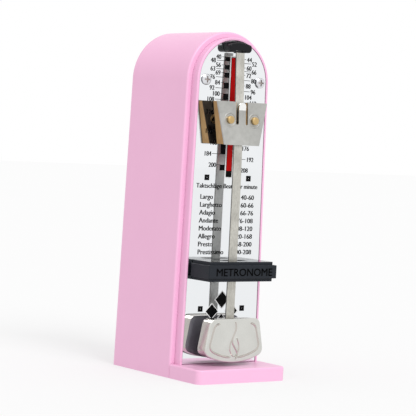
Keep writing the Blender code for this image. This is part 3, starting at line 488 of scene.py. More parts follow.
def turned(profile):
    """A solid turned about Z from (radius, height) points that run from the top of the axis to its bottom."""
    shape, rings, sides = bmesh.new(), [], 40
    for radius, height in profile:
        points = circle(radius, (0, 0), sides) if radius else [(0, 0)]
        ring = [shape.verts.new(Vector((x, y, height)) * MM) for x, y in points]
        rings.append(ring if radius else ring * sides)
    for upper, lower in zip(rings, rings[1:]):
        for i in range(sides):
            corners = (upper[i - 1], lower[i - 1], lower[i], upper[i])
            shape.faces.new(dict.fromkeys(corners))
    bmesh.ops.remove_doubles(shape, verts=shape.verts, dist=WELD)
    bmesh.ops.recalc_face_normals(shape, faces=shape.faces)
    mesh = bpy.data.meshes.new("turned")
    shape.to_mesh(mesh)
    shape.free()
    return mesh


def half_width(z, inset):
    """Half the case's width at height z, where its sides lean, less the inset."""
    return (ARCH_RADIUS - inset) / cos(SIDE_LEAN) + (ARCH_CENTRE - z) * tan(SIDE_LEAN)


def case_outline(inset, bottom, steps=90):
    """The case's front outline moved in by inset: leaning sides under a round arch."""
    low = half_width(bottom, inset)
    arch = circle(ARCH_RADIUS - inset, (0, ARCH_CENTRE), steps, SIDE_LEAN, pi - SIDE_LEAN)
    return [(-low, bottom), (low, bottom)] + arch


def lean_back(mesh):
    """Moves the far face forward with height, because the case is slightly deeper at its foot."""
    for vertex in mesh.vertices:
        if vertex.co.y > CASE_DEPTH / 2 * MM:
            vertex.co.y -= BACK_LEAN * vertex.co.z
    return mesh


def sliced(mesh):
    """The mesh with a level cut at every millimetre, so that it can be bent."""
    step = 1.0
    shape = bmesh.new()
    shape.from_mesh(mesh)
    heights = [vertex.co.z for vertex in shape.verts]
    z = min(heights) + step * MM
    while z < max(heights) - 0.2 * step * MM:
        everything = shape.verts[:] + shape.edges[:] + shape.faces[:]
        bmesh.ops.bisect_plane(shape, geom=everything, plane_co=(0, 0, z), plane_no=(0, 0, 1))
        z += step * MM
    shape.to_mesh(mesh)
    shape.free()
    return mesh


def lettering(text, height, place, align, widen, start, end, bold):
    """Raised characters on an upright face, from y start to end, with their baseline at place (x, z). Two
    copies, moved apart by bold each way, make the strokes thicker."""
    curve = bpy.data.curves.new("text", "FONT")
    curve.body = text
    curve.align_x = align
    curve.size = height / CAP_SHARE * MM
    curve.extrude = abs(end - start) / 2 * MM
    curve.resolution_u = 3
    once = baked(bpy.data.objects.new("text", curve))
    middle = (start + end) / 2
    for vertex in once.vertices:
        u, v, w = vertex.co / MM
        vertex.co = Vector((place[0] + u * widen, middle - w, place[1] + v)) * MM
    copies = []
    for step in (-bold, bold):
        copy = once.copy()
        copy.transform(Matrix.Translation(Vector((step, 0, 0)) * MM))
        copies.append(copy)
    return together(copies)


# --- Case ---------------------------------------------------------------------------------------------------


def case_shell():
    """The rear casing: a shell open in front and below, with bosses for the base screws in its corners."""
    shell = lean_back(prism([case_outline(0, 0)], 0, CASE_DEPTH))
    back_round, front_round, on_front = 2.4, 0.9, in_plane("Y", 0)
    rounded(shell, back_round, 8, lambda a, b: min(a.y, b.y) > TOP_DEPTH - 0.1 and max(a.z, b.z) > NEAR)
    rounded(shell, front_round, 6, lambda a, b: on_front(a, b) and max(a.z, b.z) > NEAR)
    cavity = lean_back(prism([case_outline(CASE_WALL, -5, 86)], -5, CASE_DEPTH - BACK_WALL))
    shell = boolean(shell, [cavity])
    corners = [(side * BASE_SCREW_X, depth) for side in (-1, 1) for depth in BASE_SCREW_DEPTHS]
    into_wall = 1.015
    bosses = [cylinder(2.3, 2.9, BASE_BOSS_TOP, (x * into_wall, y), "Z") for x, y in corners]
    shell = boolean(shell, bosses, "UNION")
    holes = [cylinder(SCREW_HOLE, 2.0, 9.0, corner, "Z", SCREW_HOLE_SIDES) for corner in corners]
    for side in (-1, 1):
        holes.append(cylinder(1.5, 42, 52, (side * BACK_SCREW[0], BACK_SCREW[1])))
    holes.append(cylinder(KEY_HOLE, 20, 30, BARREL_AXIS, "X", 48))
    shell = boolean(shell, holes)
    piece("case_shell", shell, "pink", stands_for=["rear_casing"])


def front_and_foot():
    """The front frame and the foot, one moulding: a recess for the plate in front, screw bosses behind."""
    face = prism([case_outline(FACE_INSET - FACE_FILL, 1.0)], FACE_FRONT, FACE_BACK)
    rounded(face, 0.45, 4, in_plane("Y", FACE_FRONT))
    recess = prism([case_outline(PLATE_INSET - 0.3, FOOT_HEIGHT - 0.6, 84)], FACE_FRONT - 3, PLATE_BACK + 0.3)
    hollow = prism([case_outline(FACE_INSET + 2.0, 3.0, 80)], -0.8, FACE_BACK + 3)
    face = boolean(face, [recess, hollow])
    wide, back, corner = half_width(0, FACE_INSET) - GAP, BOSS_BACK - 0.2, 3.0
    outline = box_outline(-BASE_HALF_WIDTH, FOOT_FRONT, BASE_HALF_WIDTH, -GAP, (corner, corner, 0, 0), 12)
    outline[-1:-1] = [(wide, -GAP), (wide, back), (-wide, back), (-wide, -GAP)]
    slab = prism([outline], 0, FOOT_HEIGHT, "Z")
    rounded(slab, 0.8, 6, lambda a, b: min(a.z, b.z) > FOOT_HEIGHT - 0.1 and max(a.y, b.y) < 0)
    face = boolean(face, [slab], "UNION")
    # The place of each screw, then the radius, start and end of its boss and of its hole
    root = -1.6
    bridge = (2.6, root, BOSS_BACK + 0.2), (SCREW_HOLE, 2.0, 11.0)
    screwed = [((BRIDGE_SCREW_X, z), *bridge) for z in BRIDGE_SCREW_HEIGHTS]
    screwed.append((PLATE_SCREW, (2.2, root, 3.0), (1.2, -6, 4.0)))
    screwed.append((BACK_SCREW, (2.4, root, 44.0), (SCREW_HOLE, 34.0, 46.0)))
    bosses, holes = [], [cylinder(2.2, -8, 3, (0, PIVOT_HEIGHT))]
    for side in (-1, 1):
        for (x, z), boss, hole in screwed:
            bosses.append(cylinder(*boss, (side * x, z)))
            holes.append(cylinder(*hole, (side * x, z), sides=SCREW_HOLE_SIDES))
        holes.append(cylinder(PAD_RADIUS + GAP, -2, 1.3, (side * FRONT_PAD[0], FRONT_PAD[1]), "Z"))
    face = boolean(face, bosses, "UNION")
    face = boolean(face, holes)
    piece("front_and_foot", face, "pink", stands_for=["front_frame"])


def scale_sheet():
    """The polished plate, with holes for its two screws and for the pendulum's staff."""
    holes = [circle(1.3, (side * PLATE_SCREW[0], PLATE_SCREW[1]), 24) for side in (-1, 1)]
    holes.append(circle(2.4, (0, PIVOT_HEIGHT), 32))
    sheet = prism([case_outline(PLATE_INSET, PLATE_BOTTOM)] + holes, PLATE_FRONT, PLATE_BACK)
    piece("mirror_sheet", sheet, "mirror", stands_for=["scale_plate"])


# --- Print on the plate -------------------------------------------------------------------------------------

# The pendulum's law, in millimetres and hundreds of beats a minute
TEMPO_BALANCE = 102.4
TEMPO_PULL = 550.0
TEMPO_INERTIA = 5050.0

# The ladders of beats: the numbers stand near and far in turn, and those of three digits need more room
LEFT_BEATS = (40, 48, 56, 63, 69, 76, 84, 92, 100, 108, 116, 126, 138, 152, 168, 184, 200)
RIGHT_BEATS = (44, 52, 60, 66, 72, 80, 88, 96, 104, 112, 120, 132, 144, 160, 176, 192, 208)
LAST_BEAT = 208
LADDER = (2.4, 5.2)
LADDER_EDGE_HALF = 0.06
RIGHT_LIFT = 0.4
MARK_HALF = 0.12
NUMBER_HEIGHT = 2.2
NUMBER_REACH = (8.9, 11.9)
NUMBER_SPREAD = {-1: 0.6, 1: 0.2}
NUMBER_ROOM = (2.0, 2.6)

# The strip between them: its right edge is given at the low end, at the knee and at the top
STRIP_LEFT = -1.3
STRIP_RIGHT = (1.55, 1.65, 0.5)
STRIP_LOW = 95.9
STRIP_FOOT = 93.3
STRIP_KNEE = 128.0
STRIP_TOP = 148.0

# The words and the other marks
PRINT_BACK = PLATE_FRONT + 0.02
PRINT_FRONT = PLATE_FRONT - 0.04
PRINT_BOLD = 0.1
HEADING_ROW = 87.8
HEADING_ENDS = (-18.0, 17.4)
FIRST_ROW = 82.7
ROW_STEP = 3.64
ROW_ENDS = (-15.5, 15.7)
TEMPO_CAPITAL = 2.35
SMALL_CAPITAL = 2.25
CORNER_SQUARES = ((-12.2, 92.6), (11.8, 92.6), (-12.2, 32.0), (11.8, 32.0))
DIAMONDS = ((0.0, 36.15, 3.75), (-5.6, 30.8, 3.4), (5.7, 30.9, 3.4), (0.0, 26.0, 3.4))
TEMPI = (
    ("Largo", "40-60"),
    ("Larghetto", "60-66"),
    ("Adagio", "66-76"),
    ("Andante", "76-108"),
    ("Moderato", "108-120"),
    ("Allegro", "120-168"),
    ("Presto", "168-200"),
    ("Prestissimo", "200-208"),
)


def patch(outline, lift=0.0):
    """A flat printed area on the plate; lift puts it over another."""
    return prism([outline], PRINT_FRONT - lift, PRINT_BACK)


def bar_patch(one, low, other, high):
    left, right = sorted((one, other))
    return patch(box_outline(left, low, right, high))


def words(text, height, place, align="CENTER", widen=0.95):
    return lettering(text, height, place, align, widen, PRINT_BACK, PRINT_FRONT, PRINT_BOLD)


def tempo_height(beats):
    """The slider's top edge at this many beats a minute. With p the square of the beats in hundreds and h its
    height above the pivot, a weighted pendulum keeps p * (inertia + h * h) = pull * (balance - h)."""
    pace = (beats / 100) ** 2
    root = sqrt(TEMPO_PULL**2 - 4 * pace * (pace * TEMPO_INERTIA - TEMPO_PULL * TEMPO_BALANCE))
    return PIVOT_HEIGHT + (root - TEMPO_PULL) / (2 * pace)


def ladder(side, beats):
    """A ladder of blocks with its numbers and marks, on the left for side -1 and on the right for side 1."""
    ink = []
    lift = 0.0 if side < 0 else RIGHT_LIFT
    inner, outer = LADDER
    for index, beat in enumerate(beats):
        z = tempo_height(beat) + lift
        three_digits = beat >= 100
        reach = NUMBER_REACH[index % 2] + (NUMBER_SPREAD[side] if three_digits else 0.0)
        ink.append(words(str(beat), NUMBER_HEIGHT, (side * reach, z - NUMBER_HEIGHT / 2)))
        reach -= NUMBER_ROOM[three_digits]
        ink.append(bar_patch(side * inner, z - MARK_HALF, side * reach, z + MARK_HALF))
    marks = list(beats) + ([LAST_BEAT] if side < 0 else [])
    for first, last in zip(marks[::2], marks[1::2]):
        low, high = tempo_height(last) + lift, tempo_height(first) + lift
        ink.append(bar_patch(side * inner, low, side * outer, high))
    edge, low, high = side * inner, tempo_height(LAST_BEAT), tempo_height(beats[0]) + lift
    ink.append(bar_patch(edge - LADDER_EDGE_HALF, low, edge + LADDER_EDGE_HALF, high))
    return ink


def printed_scale():
    """Two ladders of beats, the heading, the tempo names with their ranges, and the corner squares."""
    ink = ladder(-1, LEFT_BEATS) + ladder(1, RIGHT_BEATS)
    left, right = HEADING_ENDS
    ink.append(words("Taktschläge", SMALL_CAPITAL, (left, HEADING_ROW), "LEFT", 1.0))
    ink.append(words("Beats per minute", SMALL_CAPITAL, (right, HEADING_ROW), "RIGHT", 0.93))
    left, right = ROW_ENDS
    for index, (tempo, span) in enumerate(TEMPI):
        row = FIRST_ROW - index * ROW_STEP
        ink.append(words(tempo, TEMPO_CAPITAL, (left, row), "LEFT", 1.0))
        ink.append(words(span, SMALL_CAPITAL, (right, row), "RIGHT", 1.07))
    half_wide, half_high = 1.35, 1.3
    for x, z in CORNER_SQUARES:
        ink.append(bar_patch(x - half_wide, z - half_high, x + half_wide, z + half_high))
    return ink


def strip_outline(grow, low):
    """The strip between the two ladders, grown on every side; it starts at low, and its top is narrow."""
    left, top = STRIP_LEFT - grow, STRIP_TOP + grow
    at_low, at_knee, at_top = [right + grow for right in STRIP_RIGHT]
    return [(left, low - grow), (at_low, low - grow), (at_knee, STRIP_KNEE), (at_top, top), (left, top)]


def diamond(x, z, half):
    return [(x - half, z), (x, z - half), (x + half, z), (x, z + half)]


def plate_print():
    """The three inks on the plate: white margins under black, and red over it."""
    over_white, over_black = 0.02, 0.04
    ink = printed_scale()
    white = [patch(strip_outline(0.75, STRIP_FOOT))]
    ink.append(patch(strip_outline(0.28, STRIP_FOOT), over_white))
    red = patch(strip_outline(0.0, STRIP_LOW), over_black)
    for x, z, half in DIAMONDS:
        white.append(patch(diamond(x, z, half + 0.5)))
        ink.append(patch(diamond(x, z, half), over_white))
    for place in CORNER_SQUARES:
        white.append(patch(circle(0.11, place, 12), 0.03))
    piece("plate_print_black", together(ink), "ink")
    piece("plate_print_white", together(white), "white")
    piece("plate_print_red", red, "red")


def cross_screw(node, head, height, length, finish, turn, move):
    """A cross-headed screw with a domed head, whose underside is at zero before it is placed."""
    shank, rim, dome = 0.8, 0.08, []
    for angle in range(0, 91, 10):
        dome.append((head * sin(radians(angle)), height * (0.3 + 0.7 * cos(radians(angle)))))
    profile = dome + [(head, rim), (head - rim, 0), (shank, 0), (shank, shank - length), (0, -length)]
    arm, tip, waist, floor = head * 0.6, head * 0.13, head * 0.16, height * 0.3
    cross = []
    for u, v in ((1, 1), (-1, 1), (-1, -1), (1, -1)):
        points = [(u * arm, v * tip), (u * waist, v * waist), (u * tip, v * arm)]
        cross += points if u * v > 0 else points[::-1]
    mesh = boolean(turned(profile), [prism([cross], floor, height + 1, "Z")])
    # The faces inside the cross recess take the recess finish, which paints the shade in the recess
    sunk = []
    for face in mesh.polygons:
        x, y, z = face.center / MM
        within = max(abs(x), abs(y)) < arm * 1.02 and min(abs(x), abs(y)) < waist * 1.02
        below = height * 0.29 < z < height * 0.92
        sunk.append(within and below and (abs(face.normal.z) < 0.5 or z < height * 0.4))
    screw = piece(node + "_fine", mesh, [finish, "recess"], stands_for=[node], turn=turn, move=move)
    for face, is_sunk in zip(screw.data.polygons, sunk):
        if is_sunk:
            face.material_index = 1


def screws():
    """The screws that show: two on the plate, two in the back and four below."""
    back = CASE_DEPTH - BACK_LEAN * BACK_SCREW[1]
    for side, word in ((-1, "left"), (1, "right")):
        place = (side * PLATE_SCREW[0], PLATE_FRONT - GAP, PLATE_SCREW[1])
        cross_screw(f"plate_screw_{word}", 2.5, 1.0, 6, "chrome", (pi / 2, "X"), place)
        place = (side * BACK_SCREW[0], back + 0.1, BACK_SCREW[1])
        cross_screw(f"back_screw_{word}", 2.6, 1.3, 10, "steel", (-pi / 2, "X"), place)
    places = [(side * BASE_SCREW_X, depth, 0.65) for side in (-1, 1) for depth in BASE_SCREW_DEPTHS]
    for number, place in enumerate(places, 1):
        cross_screw(f"base_screw_{number}", 1.9, 0.6, 7, "steel", (pi, "X"), place)


def pads():
    """The four rubber feet: turned pads with a groove round a flat middle."""
    places = [(side * x, y) for x, y in (FRONT_PAD, BACK_PAD) for side in (-1, 1)]
    profile = ((0, 1.0), (PAD_RADIUS - 0.1, 1.0), (PAD_RADIUS, 0.9), (PAD_RADIUS, 0.35), (3.75, 0.05))
    profile += ((3.4, 0), (3.0, 0.0), (2.8, 0.25), (2.2, 0.25), (2.0, 0), (0, 0))
    for number, (x, y) in enumerate(places, 1):
        name = f"rubber_foot_{number}"
        piece(name + "_fine", turned(profile), "rubber", stands_for=[name], move=(x, y, 0))


def clip():
    """The black clip over the rod's tip: a thin sheet that follows the arch, and a block before it."""
    radius = ARCH_RADIUS - PLATE_INSET - 0.1
    side = atan2(sqrt(radius**2 - CLIP_HALF_WIDTH**2), CLIP_HALF_WIDTH)
    arch = circle(radius, (0, ARCH_CENTRE), 24, side, pi - side)
    corner = 1.8
    low_left = circle(corner, (corner - CLIP_HALF_WIDTH, CLIP_BOTTOM + corner), 8, pi, 1.5 * pi)
    low_right = mirrored(low_left[::-1])
    notch = [(-2.9, CLIP_BOTTOM), (-2.6, CLIP_BOTTOM + 0.7), (2.6, CLIP_BOTTOM + 0.7), (2.9, CLIP_BOTTOM)]
    sheet = prism([low_left + notch + low_right + arch], CLIP_SHEET_FRONT, PLATE_FRONT - GAP)
    rounded(sheet, 0.3, 3, in_plane("Y", CLIP_SHEET_FRONT))
    shoulder = CLIP_HALF_WIDTH - 1.1
    bow = (shoulder**2 + CLIP_SAG**2) / (2 * CLIP_SAG)
    limit = asin(shoulder / bow)
    top = circle(bow, (0, CLIP_CROWN - bow), 20, pi / 2 - limit, pi / 2 + limit)
    start, control = [(CLIP_HALF_WIDTH, height) for height in CLIP_LOBE]
    lobe = curve_points(start, control, (shoulder, CLIP_CROWN - CLIP_SAG), 8)[:-1]
    outline = low_left + notch + low_right + lobe + top + mirrored(lobe[::-1])
    block = prism([outline], CLIP_FRONT, CLIP_BLOCK_BACK)
    rounded(block, 0.7, 5, in_plane("Y", CLIP_FRONT))
    piece("rod_clip", together([sheet, block]), "clip", stands_for=["pendulum_clip"])


def bar_outline(step_in, back, corner=0.0):
    """The U shape of the guard bar seen from above, moved in by step_in; its legs end at back."""
    half, front = BAR_HALF_WIDTH - step_in, BAR_FRONT + step_in
    if not corner:
        return [(-half, back), (-half, front), (half, front), (half, back)]
    left = circle(corner, (corner - half, front + corner), 6, pi, 1.5 * pi)
    return [(-half, back)] + left + mirrored(left[::-1]) + [(half, back)]


def guard():
    """The guard bar: a hood with a glossy roof, a lower belt round it, and raised letters on the belt."""
    back, corner, overlap = PLATE_FRONT - GAP, 0.5, 0.4
    inner = BAR_BELT + BAR_WALL
    low, high = BAR_LOW - BAR_EDGE, BAR_HIGH + BAR_EDGE
    hood = sharp_edges(prism([bar_outline(BAR_BELT, back, corner)], low, high, "Z"), 0.15, 2)
    belt_back = back - 0.6
    belt = bar_outline(0, belt_back, corner) + bar_outline(inner - overlap, belt_back)[::-1]
    hood = boolean(hood, [sharp_edges(prism([belt], BAR_LOW, BAR_HIGH, "Z"), 0.3, 3)], "UNION")
    hollow = prism([bar_outline(inner, back + 1)], low - 1, high - BAR_ROOF, "Z")
    slot = box_outline(-ROD_SLOT_HALF, ROD_SLOT_FRONT, ROD_SLOT_HALF, ROD_SLOT_BACK, (1.0,) * 4)
    hood = boolean(boolean(hood, [hollow]), [prism([slot], high - BAR_ROOF - 1, high + 1, "Z")])
    roofed = piece("guard_hood", hood, ["black", "gloss"], stands_for=["guard_bar"])
    for face in roofed.data.polygons:
        if face.normal.z > 0.7 and face.center.z > (high - 0.3) * MM:
            face.material_index = 1
    place = (0.6, BAR_LOW + 1.25)
    word = lettering("METRONOME", 3.6, place, "CENTER", 1.06, BAR_FRONT + 0.1, BAR_FRONT - 0.12, 0.08)
    piece("guard_letters", word, "letters")


# --- Pendulum -----------------------------------------------------------------------------------------------


def rod_setback(z):
    """How far back the rod bends at height z."""
    share = min(1.0, max(0.0, (z - ROD_BEND_START) / (ROD_TOP - ROD_BEND_START)))
    return ROD_BEND * share**2


def rod():
    """The nickel strip, straight at first and then bent back towards the clip, with a dull back and edges."""
    heights = [ROD_BOTTOM] + [ROD_BEND_START + i * (ROD_TOP - ROD_BEND_START) / 30 for i in range(31)]
    front = [(ROD_FRONT + rod_setback(z), z) for z in heights]
    back = [(y + ROD_THICKNESS, z) for y, z in reversed(front)]
    strip = prism([front + back], -ROD_HALF_WIDTH, ROD_HALF_WIDTH, "X")
    strip = boolean(strip, [cylinder(1.2, ROD_FRONT - 3, ROD_FRONT + 3, (0, PIVOT_HEIGHT))])
    strip = sharp_edges(strip, 0.14, 3)
    strip = piece("rod_strip", strip, ["rod", "rod_back", "rod_edge"], "pendulum", ["pendulum_rod"])
    for face in strip.data.polygons:
        if face.normal.y > 0.5:
            face.material_index = 1
        elif abs(face.normal.x) > 0.9:
            face.material_index = 2


def curve_points(start, control, end, steps=10):
    """Points along an arc that leaves start and reaches end in the directions of the control point."""
    points = []
    for i in range(steps + 1):
        share = i / steps
        weights = ((1 - share) ** 2, 2 * share * (1 - share), share**2)
        points.append(tuple(sum(w * p[k] for w, p in zip(weights, (start, control, end))) for k in (0, 1)))
    return points


def bob_outline(shrink=0.0, soft=1.0):
    """The bob's front outline: a flat top, sides that spread downwards, a bowed bottom and soft corners."""
    top, low = BOB_TOP - shrink, BOB_CORNER + shrink
    half_top, half_low = BOB_HALF_TOP - shrink, BOB_HALF_LOW - shrink
    slope = (half_top - half_low) / (top - low)
    bow_radius = (half_low**2 + BOB_SAG**2) / (2 * BOB_SAG)
    limit = asin((half_low - 2.6 * soft) / bow_radius)
    bow = circle(bow_radius, (0, low - BOB_SAG + bow_radius), 36, -pi / 2 - limit, -pi / 2 + limit)
    rise, drop = 3.2 * soft, 3.0 * soft
    lower = curve_points(bow[-1], (half_low, low), (half_low + rise * slope, low + rise))[1:]
    upper = curve_points((half_top - drop * slope, top - drop), (half_top, top), (half_top - drop, top))
    return bow + lower + upper + mirrored((lower + upper)[::-1])


def ribbon(points, width, height, face):
    """A raised line with a ridged top, standing on an upright face, along points (x, z)."""
    shape, rows, sunk, ridge = bmesh.new(), [], -0.05, 0.4
    for index, (u, v) in enumerate(points):
        before = points[max(index - 1, 0)]
        after = points[min(index + 1, len(points) - 1)]
        along = Vector((after[0] - before[0], after[1] - before[1])).normalized()
        half = width / 2 * min(1.0, 0.35 + min(index, len(points) - 1 - index) / 2)
        aside = Vector((-along.y, along.x)) * half
        row = []
        for share, lift in ((-1.0, sunk), (-ridge, height), (ridge, height), (1.0, sunk)):
            row.append(shape.verts.new(Vector((u + aside.x * share, face - lift, v + aside.y * share)) * MM))
        rows.append(row)
    for first, second in zip(rows, rows[1:]):
        for k in range(3):
            shape.faces.new((first[k], first[k + 1], second[k + 1], second[k]))
        shape.faces.new((first[3], first[0], second[0], second[3]))
    shape.faces.new(rows[0])
    shape.faces.new(rows[-1][::-1])
    bmesh.ops.recalc_face_normals(shape, faces=shape.faces)
    mesh = bpy.data.meshes.new("ribbon")
    shape.to_mesh(mesh)
    shape.free()
    return mesh


def bob_relief():
    """A raised border line that breaks at the top and bottom, and a plain scroll up the middle."""
    height, break_half = 0.36, 1.8
    half = [point for point in bob_outline(2.4, 0.9) if point[0] > break_half]
    lines = [ribbon(points, 1.1, height, BOB_FRONT) for points in (half, mirrored(half))]
    low, rise, widest, scroll = 9.8, 17.2, 2.0, []
    for step in range(41):
        share = step / 40
        swing = widest * sin(share * 2.6 * pi + 0.4) * (1 - share) ** 0.6
        scroll.append((swing, low + share * rise))
    lines.append(ribbon(scroll, 1.0, height, BOB_FRONT))
    for side in (-1, 1):
        leaf = curve_points((side * 0.2, 11.0), (side * 4.4, 14.0), (side * 1.2, 19.6), 14)
        lines.append(ribbon(leaf, 0.8, 0.3, BOB_FRONT))
    return together(lines)


def bob():
    """The bob: a casting that hides the rod's foot, a grey sheet in the seam that paints its shade, and a
    front cover with an ornament whose darker lines are painted shade.
    """
    cover_back = BOB_FRONT + BOB_COVER
    weight = prism([bob_outline(0.25)], cover_back + 0.25, BOB_BACK)
    weight = rounded(weight, 1.5, 6, in_plane("Y", BOB_BACK))
    weight = rounded(weight, 0.3, 3, in_plane("Y", cover_back + 0.25))
    slot = ROD_HALF_WIDTH + GAP
    channel = box_outline(-slot, ROD_FRONT - GAP, slot, ROD_FRONT + ROD_THICKNESS + GAP)
    weight = boolean(weight, [prism([channel], ROD_BOTTOM - 1, 40, "Z")])
    casting = piece("bob_casting", weight, ["bob_edge", "bob_back"], "pendulum", ["bob_weight"])
    for face in casting.data.polygons:
        if face.center.y > (BOB_BACK - 1.1) * MM:
            face.material_index = 1
    # A grey sheet in the gap between cover and casting: painted shade in the seam
    seam = prism([bob_outline(0.3)], cover_back - 0.02, cover_back + 0.27)
    piece("bob_seam_painted_shade", seam, "recess", "pendulum")
    cover = prism([bob_outline()], BOB_FRONT, cover_back)
    rounded(cover, 0.5, 5, in_plane("Y", BOB_FRONT))
    piece("bob_front", cover, "bob", "pendulum", ["bob_cover"])
    # The ornament takes the darker edge nickel: painted shade that makes its raised lines read darker than
    # the cover
    piece("bob_ornament", bob_relief(), "bob_edge", "pendulum")


# --- Tempo slider -------------------------------------------------------------------------------------------


def slider_half(z):
    """Half the slider's width at height z."""
    share = (z - SLIDER_BOTTOM) / (SLIDER_TOP - SLIDER_BOTTOM)
    return SLIDER_BOTTOM_HALF + share * (SLIDER_TOP_HALF - SLIDER_BOTTOM_HALF)


def slider_lean(z):
    """How far forward the slider leans at height z."""
    return SLIDER_LEAN * (SLIDER_TOP - z) / (SLIDER_TOP - SLIDER_BOTTOM)


def sheet_outline():
    """A sheet that widens upwards, with a round-topped tongue between two slots."""
    outline = [(-SLIDER_BOTTOM_HALF, SLIDER_BOTTOM), (SLIDER_BOTTOM_HALF, SLIDER_BOTTOM)]
    outline += [(SLIDER_TOP_HALF, SLIDER_TOP), (SLIDER_SLOT_RIGHT, SLIDER_TOP)]
    outline += slot_end(SLIDER_TONGUE_HALF, SLIDER_SLOT_RIGHT)
    outline += circle(SLIDER_TONGUE_HALF, (0, SLIDER_TOP - SLIDER_TONGUE_HALF - GAP), 20, 0, pi)
    outline += slot_end(-SLIDER_SLOT_LEFT, -SLIDER_TONGUE_HALF)
    return outline + [(-SLIDER_SLOT_LEFT, SLIDER_TOP), (-SLIDER_TOP_HALF, SLIDER_TOP)]


def slot_end(left, right):
    """The round lower end of a slot, from its right side to its left."""
    radius = (right - left) / 2
    return circle(radius, (left + radius, SLIDER_SLOT_LOW + radius), 8, 0, -pi)


def on_tongue(x):
    return abs(x) < SLIDER_TONGUE_HALF + 0.1


def tongue_curl(x, z):
    """How far the tongue's tip is bent forward."""
    bent, reach = 5.0, 0.7
    share = max(0.0, (z - SLIDER_TOP + bent) / bent) if on_tongue(x) else 0.0
    return reach * share**2


def slider_sheet(rivets):
    """The mottled front sheet with its spring tongue, whose tip is painted bright as a painted highlight, and
    a pressed ring round each rivet.
    """
    holes = [circle(1.2, place, 24) for place in rivets]
    sheet = sliced(prism([sheet_outline()] + holes, SLIDER_FRONT, SLIDER_FRONT + SLIDER_SHEET))
    sheet = sharp_edges(sheet, 0.12, 2)
    for vertex in sheet.vertices:
        x, _, z = vertex.co / MM
        vertex.co.y -= (slider_lean(z) + tongue_curl(x, z)) * MM
    plate = piece("slider_plate", sheet, ["sheet", "tip"], "tempo_slider", ["slider_sheet"])
    # The top of the tongue gets the bright tip finish: a painted highlight
    for face in plate.data.polygons:
        x, _, z = face.center / MM
        if on_tongue(x) and z > SLIDER_TOP - TIP_HIGHLIGHT_REACH:
            face.material_index = 1
    rings = together([ribbon(circle(DIMPLE_RADIUS, place, 48), 0.9, 0.2, SLIDER_FRONT) for place in rivets])
    for vertex in rings.vertices:
        vertex.co.y -= slider_lean(vertex.co.z / MM) * MM
    piece("slider_dimples", rings, "sheet", "tempo_slider")


def slider_block(rivets):
    """The brass weight: a leaning block with a slot for the rod and a pocket in each cheek, whose back and
    inner faces are darkened as painted shade.
    """
    low, high, margin = SLIDER_BOTTOM, SLIDER_TOP, 0.2
    front = SLIDER_FRONT + SLIDER_SHEET + margin
    side_view = [(front - slider_lean(low), low + margin), (front, high - margin)]
    side_view += [(SLIDER_BACK_HIGH, high - margin), (SLIDER_BACK_LOW, low + margin)]
    weight = prism([side_view], -SLIDER_TOP_HALF, SLIDER_TOP_HALF, "X")
    narrower, floor = 0.3, low + 1.6
    cuts = []
    for side, rivet in zip((-1, 1), rivets):
        edge = [(side * (slider_half(low) - narrower), low), (side * (slider_half(high) - narrower), high)]
        wedge = edge + [(side * FAR, high + 1), (side * FAR, low - 1)]
        cuts.append(prism([wedge], -FAR, 0))
        inner, outer_low, outer_high = [side * x for x in POCKET_X]
        pocket = [(inner, floor), (outer_low, floor), (outer_high, POCKET_TOP), (inner, POCKET_TOP)]
        cuts.append(prism([pocket], POCKET_FRONT, 0))
        cuts.append(cylinder(SCREW_HOLE, -14, 0, rivet))
    slot = ROD_HALF_WIDTH + GAP
    cuts.append(prism([box_outline(-slot, -14, slot, STRAP_FRONT)], low - 2, high + 2, "Z"))
    weight = boolean(weight, cuts)
    weight = boolean(weight, [prism([box_outline(-slot, -14, slot, 0)], STRAP_TOP, high + 2, "Z")])
    weight = sharp_edges(weight, 0.12, 2)
    finishes = ["brass_raw", "brass_painted_shade"]
    block = piece("slider_block", weight, finishes, "tempo_slider", ["slider_weight"])
    # The back and the faces inside the slot and pockets get the dark brass: painted shade
    for face in block.data.polygons:
        behind = face.normal.y > 0.3
        inside = abs(face.center.x) < (slider_half(face.center.z / MM) - 0.8) * MM and face.normal.y > -0.5
        if behind or inside:
            face.material_index = 1


def slider_rivets(rivets):
    """The two brass rivets, which follow the sheet's lean, and their flared tails behind the weight."""
    lean = atan2(SLIDER_LEAN, SLIDER_TOP - SLIDER_BOTTOM)
    face_y = SLIDER_FRONT - slider_lean(SLIDER_RIVET[1]) - 0.2
    head = ((0, 1.0), (1.55, 1.0), (1.72, 0.92), (1.8, 0.75), (1.8, 0), (0.8, 0), (0.8, -2.2), (0, -2.2))
    flare = ((1.3, 0.25), (2.1, 0.1), (2.2, -0.3), (1.2, -0.3), (1.3, 0.25))
    slide = "tempo_slider"
    for (x, z), word in zip(rivets, ("left", "right")):
        node, turn, move = f"slider_rivet_{word}", (pi / 2 - lean, "X"), (x, face_y, z)
        piece(node + "_fine", turned(head), "brass", slide, [node], turn, move)
        turn, move = (-pi / 2, "X"), (x, RIVET_TAIL_BACK, z)
        piece(f"rivet_tail_{word}", turned(flare), "brass_raw", slide, turn=turn, move=move)


def slider():
    rivets = [(side * SLIDER_RIVET[0], SLIDER_RIVET[1]) for side in (-1, 1)]
    slider_sheet(rivets)
    slider_block(rivets)
    slider_rivets(rivets)


# --- Winding key --------------------------------------------------------------------------------------------


